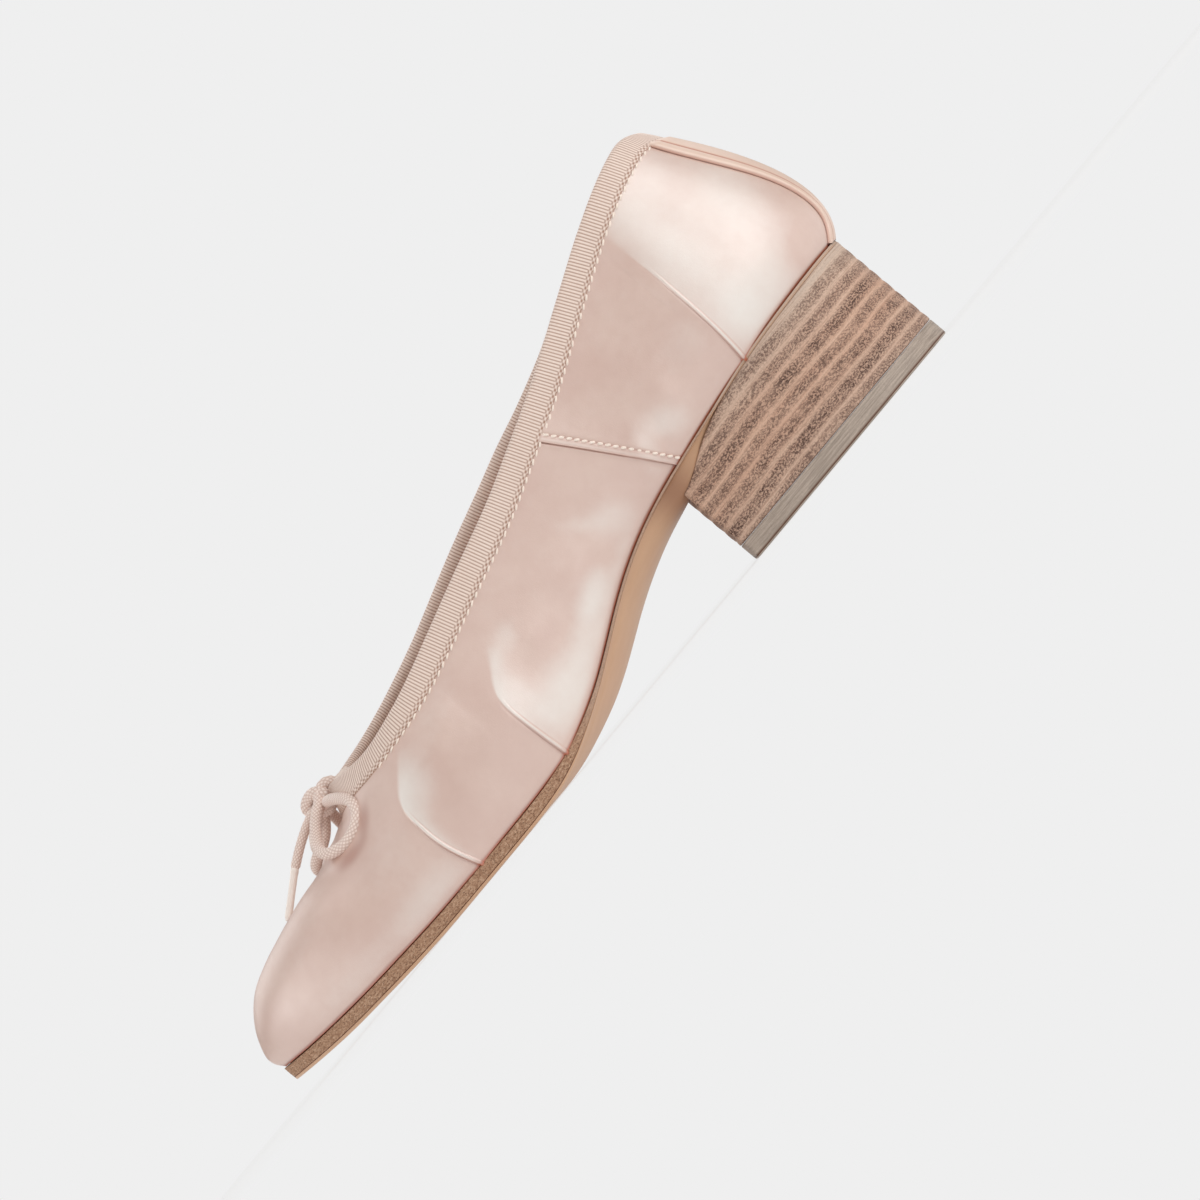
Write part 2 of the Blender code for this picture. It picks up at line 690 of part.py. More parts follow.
def build_heel(stack_mat, lift_mat, coll):
    cols = [0, 0.1, 0.25, 0.5, 0.75, 0.9, 1.0]
    build_heel_piece("heel_block", stack_mat, coll, lambda x, y: LIFT + GAP,
                     lambda x, y: sole_bottom(x, y, 1.0) - GAP - 0.15, cols)
    build_heel_piece("heel_top_piece", lift_mat, coll, lambda x, y: 0.0, lambda x, y: LIFT, [0, 0.5, 1.0])


BAND_ROWS = steps(0, 1, 10) + steps(1, 2, 10) + steps(2, 3, 10) + [3.0]


def build_binding(mat, coll):
    """The grosgrain band standing on the upper's top edge, all the way round the opening."""
    verts, faces = [], []
    for side in SIDE:
        rows = []
        for r in BAND_ROWS:
            c, d = collar_point(side, r), band_direction(side, r)
            foot = c - d * (band_width(r) - 0.45)
            rows.append([foot, (foot + c) / 2, c])
        grid(verts, faces, rows, flip=(side == "lateral"))
    ob = mesh_object("collar_binding", verts, drop_degenerate(faces, verts), mat, coll)
    outward_normals(ob, lambda c: c - Vector((0, 0, c.z)))
    m = ob.modifiers.new("wall", "SOLIDIFY")
    m.thickness = BIND_WALL * MM
    m.offset = -1.0 + 2 * 0.25 / BIND_WALL
    m.use_even_offset = False
    return ob


STRIP_ROW = 0.24         # half-width of the back strip, as a row of the upper


def build_back_strip(mat, coll):
    """The strip over the back seam, cut between two larger forms of the upper."""
    verts, faces = [], []
    lo, hi = GAP, GAP + STRIP_THICK
    rows = [STRIP_ROW * i / 4 for i in range(5)]
    vs = [0.012 + 0.976 * i / 12 for i in range(13)]
    for side in SIDE:
        a, b = [], []
        for r in rows:
            p = [surface(side, r, v) for v in vs]
            n = [wall_direction(side, r, v) for v in vs]
            a.append([x + y * lo for x, y in zip(p, n)])
            b.append([x + y * hi for x, y in zip(p, n)])
        grid(verts, faces, a)
        grid(verts, faces, b)
        grid(verts, faces, [a[-1], b[-1]])
        for j in (0, -1):
            grid(verts, faces, [[x[j], y[j]] for x, y in zip(a, b)])
    return mesh_object("back_strip", verts, drop_degenerate(faces, verts), mat, coll)


# ---------------------------------------------------------------- the bow
KNOT = dict(station=191.5, y=0.0, z=44.0, long=3.9, wide=4.3, high=3.6)
LOOPS = {  # middle line of the cord: station, y, z
    "lateral": [
        (193.3, 4.9, 45.0),
        (195.2, 8.0, 43.2),
        (197.2, 11.5, 40.7),
        (199.0, 15.0, 38.3),
        (199.8, 18.2, 36.4),
        (199.1, 21.4, 34.9),
        (197.0, 23.8, 33.9),
        (193.9, 25.6, 33.5),
        (190.6, 26.9, 34.0),
        (187.9, 26.6, 35.8),
        (186.9, 23.9, 38.1),
        (187.6, 19.6, 40.3),
        (189.2, 14.2, 41.8),
        (190.2, 9.2, 42.4),
        (190.2, 5.5, 42.4),
    ],
    "medial": [
        (191.6, -5.4, 41.8),
        (193.0, -8.6, 40.0),
        (196.2, -12.4, 38.2),
        (199.9, -16.0, 36.9),
        (203.0, -19.4, 36.1),
        (205.2, -23.2, 35.4),
        (205.4, -27.2, 34.2),
        (203.0, -30.4, 32.4),
        (199.0, -31.6, 31.0),
        (195.2, -30.2, 31.4),
        (192.4, -26.6, 33.4),
        (190.8, -21.4, 36.9),
        (190.2, -15.4, 40.4),
        (190.6, -9.8, 43.6),
        (191.2, -5.3, 45.3),
    ],
}
ENDS = {
    "lateral": [
        (195.5, 1.9, 43.7),
        (198.0, 2.9, 42.9),
        (200.9, 3.9, 41.5),
        (203.9, 4.9, 39.9),
        (206.8, 5.8, 38.2),
    ],
    "medial": [
        (195.0, -3.4, 43.4),
        (196.8, -7.2, 42.4),
        (198.6, -12.0, 41.2),
        (200.2, -17.4, 39.9),
        (201.6, -22.4, 38.0),
    ],
}
AGLETS = {
    "lateral": [(207.1, 5.9, 38.0), (217.2, 9.0, 32.0)],
    "medial": [(201.75, -22.75, 37.9), (204.6, -33.2, 35.2)],
}


def route(points, n):
    """n points spaced evenly along a smooth curve through a table's points."""
    p = [np.array(q, float) for q in points]
    at = [0.0]
    for a, b in zip(p, p[1:]):
        at.append(at[-1] + float(np.linalg.norm(b - a)))
    curves = [spline(at, [q[k] for q in p]) for k in range(3)]
    fine = [np.array([c(at[-1] * i / 400) for c in curves]) for i in range(401)]
    along = np.concatenate([[0.0], np.cumsum([np.linalg.norm(b - a) for a, b in zip(fine, fine[1:])])])
    want = np.linspace(0.0, along[-1], n)
    return [np.array([np.interp(w, along, [f[k] for f in fine]) for k in range(3)]) for w in want]


def build_tube(name, points, diameter, mat, coll, n):
    cu = bpy.data.curves.new(name, "CURVE")
    cu.dimensions = "3D"
    cu.bevel_depth = diameter / 2 * MM
    cu.bevel_resolution = 2
    cu.use_fill_caps = True
    sp = cu.splines.new("POLY")
    pts = route(points, n)
    sp.points.add(len(pts) - 1)
    for q, p in zip(sp.points, pts):
        q.co = (*place(p), 1.0)
    cu.materials.append(mat)
    ob = bpy.data.objects.new(name, cu)
    coll.objects.link(ob)
    return ob


def build_bow(cord, tip, coll):
    bm = bmesh.new()
    bmesh.ops.create_uvsphere(bm, u_segments=20, v_segments=12, radius=1.0)
    for v in bm.verts:
        x, y, z = v.co
        v.co = place((KNOT["station"] + x * KNOT["long"], KNOT["y"] + y * KNOT["wide"], KNOT["z"] + z * KNOT["high"]))
    me = bpy.data.meshes.new("bow_knot")
    bm.to_mesh(me)
    bm.free()
    me.materials.append(cord)
    me.shade_smooth()
    coll.objects.link(bpy.data.objects.new("bow_knot", me))
    for side in SIDE:
        build_tube("bow_loop_" + side, LOOPS[side], CORD_D, cord, coll, 26)
        build_tube("bow_end_" + side, ENDS[side], CORD_D - 0.4, cord, coll, 5)
        build_tube("aglet_" + side, AGLETS[side], AGLET_D, tip, coll, 3)


def main():
    clear_scene()
    coll = bpy.data.collections.new("tabi_ballet_flat")
    bpy.context.scene.collection.children.link(coll)
    satin = material("satin", (0.78, 0.60, 0.53), 0.32)
    strip = material("satin_strip", (0.76, 0.58, 0.51), 0.32)
    leather = material("sole_leather", (0.62, 0.40, 0.25), 0.45)
    sock = material("sock_leather", (0.74, 0.58, 0.47), 0.5)
    stack = material("stacked_leather", (0.45, 0.30, 0.22), 0.6)
    lift = material("grey_lift", (0.36, 0.33, 0.29), 0.6)
    band = material("grosgrain", (0.62, 0.48, 0.42), 0.7)
    cord = material("cord", (0.74, 0.58, 0.50), 0.75)
    tip = material("aglet", (0.80, 0.66, 0.58), 0.25)
    build_upper(satin, coll)
    build_outsole(leather, coll)
    build_insole(sock, coll)
    build_heel(stack, lift, coll)
    build_binding(band, coll)
    build_back_strip(strip, coll)
    build_bow(cord, tip, coll)


main()
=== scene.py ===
"""Split-toe ballet flat in satin: the look of the part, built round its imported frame.

Tables are in millimetres in the shoe's own sizes: "station" is the distance from the back of the heel
towards the toe, y is sideways (lateral positive) and z is up. place() turns them into metres.
"""
import bpy
import math
import numpy as np
from mathutils import Matrix, Vector


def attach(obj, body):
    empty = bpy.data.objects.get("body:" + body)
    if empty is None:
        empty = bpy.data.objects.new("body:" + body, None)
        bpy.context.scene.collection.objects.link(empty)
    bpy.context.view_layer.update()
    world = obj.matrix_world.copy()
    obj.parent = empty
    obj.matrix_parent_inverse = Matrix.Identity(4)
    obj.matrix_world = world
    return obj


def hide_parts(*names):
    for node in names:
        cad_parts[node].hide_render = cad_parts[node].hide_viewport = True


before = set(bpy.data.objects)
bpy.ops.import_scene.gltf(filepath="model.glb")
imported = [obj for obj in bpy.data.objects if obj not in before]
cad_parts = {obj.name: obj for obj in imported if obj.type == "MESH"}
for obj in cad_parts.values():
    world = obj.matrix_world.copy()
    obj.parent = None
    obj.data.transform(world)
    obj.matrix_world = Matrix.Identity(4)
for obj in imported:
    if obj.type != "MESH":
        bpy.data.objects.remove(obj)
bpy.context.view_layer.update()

# ================================================================ sizes, the same as the frame's
MM = 0.001
MID_STATION = 123.096
SIDE_SHIFT = -1.158
GAP = 0.3
WALL = 2.0
BIND_WIDTH = 7.3
BIND_FRONT = 8.2
SOLE_MARGIN = 0.5
FLAT = 0.03
LIFT = 5.0
BREAST = 77.0

SOLE = [  # station, feather_z, edge_thickness, crown, crown_power
    (-2.0, 35.4, 1.0, 0.0, 5.0), (15.0, 35.3, 1.0, 0.0, 5.0), (25.0, 34.9, 1.0, 0.0, 5.0),
    (35.0, 34.3, 0.9, 0.0, 6.0), (45.0, 33.4, 0.9, 0.2, 8.0), (55.0, 32.0, 0.9, 1.1, 10.0),
    (65.0, 30.6, 0.9, 3.9, 11.0), (75.0, 29.2, 1.0, 5.9, 11.0), (85.0, 27.3, 1.0, 6.2, 6.0),
    (95.0, 24.5, 1.1, 6.2, 4.0), (105.0, 20.6, 1.2, 6.1, 3.2), (115.0, 15.8, 1.3, 5.8, 3.0),
    (125.0, 11.1, 1.6, 4.8, 3.0), (135.0, 7.6, 2.4, 3.2, 3.0), (145.0, 5.4, 3.6, 1.5, 3.0),
    (155.0, 4.5, 4.2, 0.2, 3.0), (165.0, 4.3, 4.3, 0.0, 3.0), (175.0, 4.3, 4.3, 0.0, 3.0),
    (185.0, 4.3, 4.3, 0.0, 3.0), (195.0, 4.5, 4.4, 0.0, 3.0), (205.0, 5.0, 4.5, 0.0, 3.0),
    (215.0, 5.6, 4.4, 0.0, 3.0), (225.0, 6.5, 4.5, 0.0, 3.0), (235.0, 7.7, 4.4, 0.0, 3.0),
    (248.0, 9.8, 4.3, 0.0, 3.0),
]
HEEL_END, TOE_START = 45.0, 184.0
BACK = 6.2
WIDTH = [  # station, lateral, medial
    (HEEL_END, 28.0, 28.0), (60.0, 28.0, 27.8), (75.0, 27.3, 26.2), (90.0, 26.9, 24.0), (105.0, 27.9, 22.9),
    (120.0, 30.6, 24.0), (135.0, 34.2, 27.4), (150.0, 37.5, 31.8), (165.0, 39.7, 35.8), (175.0, 40.3, 37.7),
    (TOE_START, 40.5, 38.4),
]
HEEL_POWER = 2.25
TOE = {
    "lateral": dict(tip=244.7, tip_y=8.0, power=2.15, turn=226.0, inner_power=2.1),
    "medial": dict(tip=244.7, tip_y=-20.5, power=2.25, turn=228.0, inner_power=2.1),
}
CLEFT_BASE, CLEFT_BASE_Y = 210.0, -8.2
CLEFT_TURN_Y = {"lateral": -5.6, "medial": -8.8}
CLEFT_HALF = 0.9
VALLEY_START = 197.0
FAN_FOOT = 197.0
CROWN = [  # station, z
    (186.0, 37.7), (190.0, 36.5), (195.0, 35.0), (200.0, 34.2), (207.0, 33.2), (213.0, 31.9), (219.0, 30.9),
    (225.0, 29.9), (231.0, 28.2), (236.3, 25.8), (240.8, 21.9), (243.5, 18.0), (244.9, 15.0),
]
COLLAR_BACK, COLLAR_BACK_Z = 16.4, 88.6
COLLAR_HEEL, COLLAR_THROAT, COLLAR_FRONT = 45.0, 150.0, 186.3
COLLAR_PLAN = [  # station, lateral, medial
    (COLLAR_HEEL, 23.6, 23.6), (60.0, 24.9, 24.4), (75.0, 26.2, 24.8), (90.0, 27.6, 25.2), (105.0, 29.0, 25.8),
    (120.0, 30.3, 26.8), (135.0, 31.2, 27.9), (COLLAR_THROAT, 31.5, 28.4),
]
COLLAR_Z = [  # station, lateral, medial
    (COLLAR_BACK, COLLAR_BACK_Z, COLLAR_BACK_Z), (20.0, 90.3, 90.3), (25.0, 90.1, 90.1), (32.0, 88.3, 88.4),
    (40.0, 85.6, 85.8), (48.0, 82.5, 83.0), (56.0, 79.1, 80.0), (64.0, 75.7, 76.9), (72.0, 72.2, 73.8),
    (80.0, 68.9, 71.3), (88.0, 65.9, 69.1), (96.0, 63.1, 67.2), (106.0, 59.6, 64.4), (116.0, 56.7, 61.7),
    (126.0, 54.1, 58.9), (136.0, 51.3, 55.9), (146.0, 48.5, 52.9), (156.0, 45.9, 50.4), (166.0, 44.0, 48.2),
    (176.0, 43.4, 46.5), (183.0, 44.6, 45.6), (COLLAR_FRONT, 45.0, 45.0),
]
WALL_FORM = [  # row, lean of the topline in degrees, bulge out, rise of the first handle, length of the end handle
    (0.0, 28.0, 11.0, 0.20, 0.38), (0.5, 20.0, 9.0, 0.20, 0.38), (1.0, 12.0, 7.0, 0.24, 0.34),
    (1.3, 8.0, 6.6, 0.30, 0.34), (1.6, 8.0, 6.6, 0.34, 0.34), (1.8, 12.0, 5.6, 0.38, 0.34),
    (2.0, 23.0, 4.6, 0.44, 0.34), (2.2, 35.0, 4.2, 0.48, 0.37), (2.4, 43.0, 3.8, 0.52, 0.40),
    (2.6, 38.0, 3.4, 0.55, 0.44), (2.8, 27.0, 3.0, 0.57, 0.49), (3.0, 20.0, 2.8, 0.58, 0.54),
]
VAMP_BULGE, VAMP_RISE = 2.8, 0.58
THROAT_REACH, VAMP_REACH = 0.74, 0.58
LOBE_RISE, LOBE_REACH, LOBE_MIDDLE = 0.64, 0.66, 0.47
NOSE = 0.5
SIDE = {"lateral": 1.0, "medial": -1.0}
UP = np.array([0.0, 0.0, 1.0])


# ================================================================ small maths
def spline(xs, ys):
    """Natural cubic spline through a table, held at its ends."""
    xs, ys = np.array(xs, float), np.array(ys, float)
    n = len(xs)
    h = np.diff(xs)
    a = np.zeros((n, n))
    b = np.zeros(n)
    a[0, 0] = a[-1, -1] = 1.0
    for i in range(1, n - 1):
        a[i, i - 1], a[i, i], a[i, i + 1] = h[i - 1], 2 * (h[i - 1] + h[i]), h[i]
        b[i] = 6 * ((ys[i + 1] - ys[i]) / h[i] - (ys[i] - ys[i - 1]) / h[i - 1])
    m = np.linalg.solve(a, b)

    def at(x):
        x = np.clip(np.asarray(x, float), xs[0], xs[-1])
        i = np.clip(np.searchsorted(xs, x, side="right") - 1, 0, n - 2)
        l, r, hi = x - xs[i], xs[i + 1] - x, h[i]
        out = ((m[i] * r ** 3 + m[i + 1] * l ** 3) / (6 * hi)
               + (ys[i] / hi - m[i] * hi / 6) * r + (ys[i + 1] / hi - m[i + 1] * hi / 6) * l)
        return float(out) if np.ndim(out) == 0 else out
    return at


def columns(table):
    xs = [r[0] for r in table]
    return [spline(xs, [r[k] for r in table]) for k in range(1, len(table[0]))]


def flat_ends(xs, ys):
    d = 0.6
    return spline([xs[0] - d] + list(xs) + [xs[-1] + d], [ys[0]] + list(ys) + [ys[-1]])


def smooth(x):
    x = np.clip(x, 0.0, 1.0)
    return x * x * (3 - 2 * x)


def bump(x, width):
    """1 at 0, falling smoothly to 0 at +-width and beyond."""
    return smooth(1.0 - np.abs(x) / width)


def gauss(x, width):
    return np.exp(-(x / width) ** 2)


def root(x, p):
    return max(x, 0.0) ** (1.0 / p)


def hermite(t, a, slope_a, b, slope_b):
    return (a * (1 + 2 * t) * (1 - t) ** 2 + slope_a * t * (1 - t) ** 2
            + b * t * t * (3 - 2 * t) + slope_b * t * t * (t - 1))


feather_z, edge_thick, crown_drop, crown_power = columns(SOLE)
crown_z, = columns(CROWN)
form_lean, form_bulge, form_rise, form_end = columns(WALL_FORM)
_w = [r[0] for r in WIDTH]
half_width = {"lateral": flat_ends(_w, [r[1] for r in WIDTH]), "medial": flat_ends(_w, [r[2] for r in WIDTH])}
_c = [r[0] for r in COLLAR_PLAN]
collar_half = {"lateral": spline(_c, [r[1] for r in COLLAR_PLAN]), "medial": spline(_c, [r[2] for r in COLLAR_PLAN])}
_z = [r[0] for r in COLLAR_Z]
collar_z = {"lateral": spline(_z, [r[1] for r in COLLAR_Z]), "medial": spline(_z, [r[2] for r in COLLAR_Z])}


def spine_y(s):
    return CLEFT_BASE_Y * smooth((s - THROAT_S) / (CLEFT_BASE - THROAT_S))


# ================================================================ the last: outlines and surface
# A row is a number from 0 to 5: 0-1 round the heel, 1-2 along the waist and ball, 2-3 past the throat,
# 3-4 over the vamp to the base of the split, 4-5 along one lobe to its tip. v runs up the section.
def superellipse(angle, p):
    c, s = math.cos(math.radians(angle)), math.sin(math.radians(angle))
    c, s = max(c, 0.0), max(s, 0.0)
    r = (c ** p + s ** p) ** (-1.0 / p)
    return c * r, s * r


def collar_point(side, row):
    k = SIDE[side]
    if row <= 1.0:
        c, s = superellipse(90.0 * row, 2.15)
        x = COLLAR_HEEL - (COLLAR_HEEL - COLLAR_BACK) * c
        y = collar_half[side](COLLAR_HEEL) * s
    elif row <= 2.0:
        x = COLLAR_HEEL + (COLLAR_THROAT - COLLAR_HEEL) * (row - 1.0)
        y = collar_half[side](x)
    else:
        c, s = superellipse(90.0 * (row - 2.0), 2.3)
        x = COLLAR_THROAT + (COLLAR_FRONT - COLLAR_THROAT) * s
        y = collar_half[side](COLLAR_THROAT) * c
    return np.array([x, k * y, collar_z[side](x)])


def collar_inward(side, row):
    d = 1e-3
    a, b = collar_point(side, max(row - d, 0.0)), collar_point(side, min(row + d, 3.0))
    t = (b - a)[:2]
    t /= np.linalg.norm(t)
    n = np.array([t[1], -t[0]]) * SIDE[side]
    return np.array([n[0], n[1], 0.0])


def band_direction(side, row):
    lean = math.radians(form_lean(row))
    return UP * math.cos(lean) + collar_inward(side, row) * math.sin(lean)


def band_width(row):
    return BIND_WIDTH + (BIND_FRONT - BIND_WIDTH) * float(smooth((row - 2.45) / 0.35))


def band_foot(side, row):
    return collar_point(side, row) - band_direction(side, row) * band_width(row)


THROAT_S, _, THROAT_Z = (float(c) for c in band_foot("lateral", 3.0))


def outer_y(side, s):
    k = SIDE[side]
    if s <= HEEL_END:
        x = (HEEL_END - s) / (HEEL_END - BACK)
        return k * half_width[side](HEEL_END) * root(1 - min(x, 1.0) ** HEEL_POWER, HEEL_POWER)
    if s <= TOE_START:
        return k * half_width[side](s)
    t = TOE[side]
    x = min((s - TOE_START) / (t["tip"] - TOE_START), 1.0)
    return t["tip_y"] + (k * half_width[side](TOE_START) - t["tip_y"]) * root(1 - x ** t["power"], t["power"])


def inner_y(side, s):
    k, t = SIDE[side], TOE[side]
    if s <= CLEFT_BASE:
        return float(spine_y(s))
    turn, ty = t["turn"], CLEFT_TURN_Y[side]
    u = min((s - CLEFT_BASE) / (turn - CLEFT_BASE), 1.0)
    open_end = min((s - CLEFT_BASE) / 2.0, 1.0)
    y = CLEFT_BASE_Y + (ty - CLEFT_BASE_Y - k * CLEFT_HALF) * u + k * CLEFT_HALF * math.sqrt(1 - (1 - open_end) ** 2)
    if s > turn:
        x = min((s - turn) / (t["tip"] - turn), 1.0)
        y = t["tip_y"] + (ty - t["tip_y"]) * root(1 - x ** t["inner_power"], t["inner_power"])
    return y


def row_station(side, row):
    if row <= 2.0:
        return HEEL_END + (COLLAR_THROAT - HEEL_END) * (row - 1.0)
    if row <= 3.0:
        return hermite(row - 2.0, COLLAR_THROAT, 75.0, FAN_FOOT, 26.0)
    if row <= 4.0:
        return hermite(row - 3.0, FAN_FOOT, 26.0, CLEFT_BASE, 0.0)
    return CLEFT_BASE + (TOE[side]["tip"] - CLEFT_BASE) * math.sin(math.radians(90.0 * (row - 4.0)))


def top_station(side, row):
    if row <= 4.0:
        return THROAT_S + (CLEFT_BASE - THROAT_S) * math.sin(math.radians(90.0 * (row - 3.0)))
    return row_station(side, row)


def foot_point(side, row):
    k = SIDE[side]
    if row <= 1.0:
        c, s = superellipse(90.0 * row, HEEL_POWER)
        x, y = HEEL_END - (HEEL_END - BACK) * c, k * half_width[side](HEEL_END) * s
    else:
        x = row_station(side, row)
        y = outer_y(side, x)
    return np.array([x, y, feather_z(x)])


def foot_outward(side, row):
    if row >= 5.0:
        return np.array([1.0, 0.0, 0.0])
    if row <= 0.0:
        return np.array([-1.0, 0.0, 0.0])
    d = 1e-3
    a, b = foot_point(side, max(row - d, 0.0)), foot_point(side, min(row + d, 5.0))
    t = (b - a)[:2]
    t /= np.linalg.norm(t)
    n = np.array([-t[1], t[0]]) * SIDE[side]
    return np.array([n[0], n[1], 0.0])


def split_outward(side, row):
    if row >= 5.0 or row <= 4.0:
        return np.array([1.0, 0.0, 0.0])
    tip = TOE[side]["tip"]
    s = row_station(side, row)
    lo, hi = max(s - 0.04, CLEFT_BASE), min(s + 0.04, tip)
    slope = (inner_y(side, hi) - inner_y(side, lo)) / (hi - lo)
    n = np.array([slope, -1.0, 0.0]) * SIDE[side]
    return n / np.linalg.norm(n)


def bezier(p, v):
    """Cubic Bezier; p is four points or four numbers, v a number or an array."""
    v = np.asarray(v, float)
    if np.ndim(p[0]):
        v = v[..., None]
    a = 1.0 - v
    return a ** 3 * p[0] + 3 * a * a * v * p[1] + 3 * a * v * v * p[2] + v ** 3 * p[3]


def vamp_top(s):
    return crown_z(s) + (THROAT_Z - crown_z(THROAT_S)) * float(1 - smooth((s - THROAT_S) / 9.0))


def reach_at(s):
    return THROAT_REACH + (VAMP_REACH - THROAT_REACH) * float(smooth((s - THROAT_S) / (CLEFT_BASE - THROAT_S)))


def arch(side, row):
    f, n, s = foot_point(side, row), foot_outward(side, row), top_station(side, row)
    top = np.array([f[0], spine_y(s), vamp_top(s)])
    rise, reach = top[2] - f[2], reach_at(s)
    return [f, f + n * VAMP_BULGE + UP * VAMP_RISE * rise, top + np.array([0, (f[1] - top[1]) * reach, 0]), top]


def lobe(side, row, depth):
    f, n, s = foot_point(side, row), foot_outward(side, row), top_station(side, row)
    yi = inner_y(side, s)
    rise = vamp_top(s) - f[2]
    turn = float(smooth((s - TOE[side]["turn"]) / (TOE[side]["tip"] - TOE[side]["turn"])))
    mid = yi + (f[1] - yi) * LOBE_MIDDLE
    top = np.array([f[0] + NOSE * float(smooth((s - 236.0) / 9.0)), mid, vamp_top(s)])
    inner = np.array([f[0], yi, f[2] + rise * (1 - depth)])
    out = [f, f + n * VAMP_BULGE + UP * LOBE_RISE * rise, top + np.array([0, (f[1] - mid) * LOBE_REACH, 0]), top]
    side_bulge = 0.3 + (VAMP_BULGE - 0.3) * turn
    inn = [top, top + np.array([0, (yi - mid) * LOBE_REACH, 0]),
           inner + (split_outward(side, row) * side_bulge + UP * LOBE_RISE * rise) * depth, inner]
    return out, inn


def cut_arch(side, row, v):
    f, n = foot_point(side, row), foot_outward(side, row)
    e = band_foot(side, row)
    ys = [f[1], f[1] + n[1] * VAMP_BULGE, f[1] * THROAT_REACH, 0.0]
    lo, hi = 0.0, 1.0
    for _ in range(34):
        w = 0.5 * (lo + hi)
        lo, hi = (w, hi) if abs(bezier(ys, w)) > abs(e[1]) else (lo, w)
    w = 0.5 * (lo + hi)
    zs = [0.0, VAMP_RISE, 1.0, 1.0]
    rise = (e[2] - f[2]) / bezier(zs, w)
    xs = [f[0], f[0] + n[0] * VAMP_BULGE, f[0], f[0]]
    u = v * w
    return np.stack([bezier(xs, u) + (e[0] - f[0]) * v * v, bezier(ys, u), f[2] + rise * bezier(zs, u)], axis=-1)


def section(side, row, v):
    """Points of the upper's outer face along one row, for an array v."""
    if row <= 3.0:
        f, n = foot_point(side, row), foot_outward(side, row)
        e = band_foot(side, row)
        rise = e[2] - f[2]
        p = bezier([f, f + n * form_bulge(row) + UP * form_rise(row) * rise,
                    e - band_direction(side, row) * form_end(row) * rise, e], v)
        if row <= 2.0:
            return p
        k = float(smooth((row - 2.0) / 0.65))
        return p * (1 - k) + cut_arch(side, row, v) * k
    s = top_station(side, row)
    x = min(max((s - VALLEY_START) / (CLEFT_BASE - VALLEY_START), 0.0), 1.0)
    depth = 1.0 - math.sqrt(1.0 - x * x)
    out, inn = lobe(side, row, depth)
    q = np.where((v <= 0.5)[:, None], bezier(out, np.minimum(2 * v, 1.0)), bezier(inn, np.maximum(2 * v - 1, 0.0)))
    if row >= 4.0:
        return q
    k = float(smooth((s - THROAT_S) / (CLEFT_BASE - THROAT_S)))
    p = bezier(arch(side, row), v) * (1 - k) + q * k
    p[:, 0] += (s - row_station(side, row)) * v * v
    return p


def place(p):
    """Table millimetres to scene metres, for one point or an array of points."""
    p = np.asarray(p, float)
    return (p - np.array([MID_STATION, -SIDE_SHIFT, 0.0])) * MM


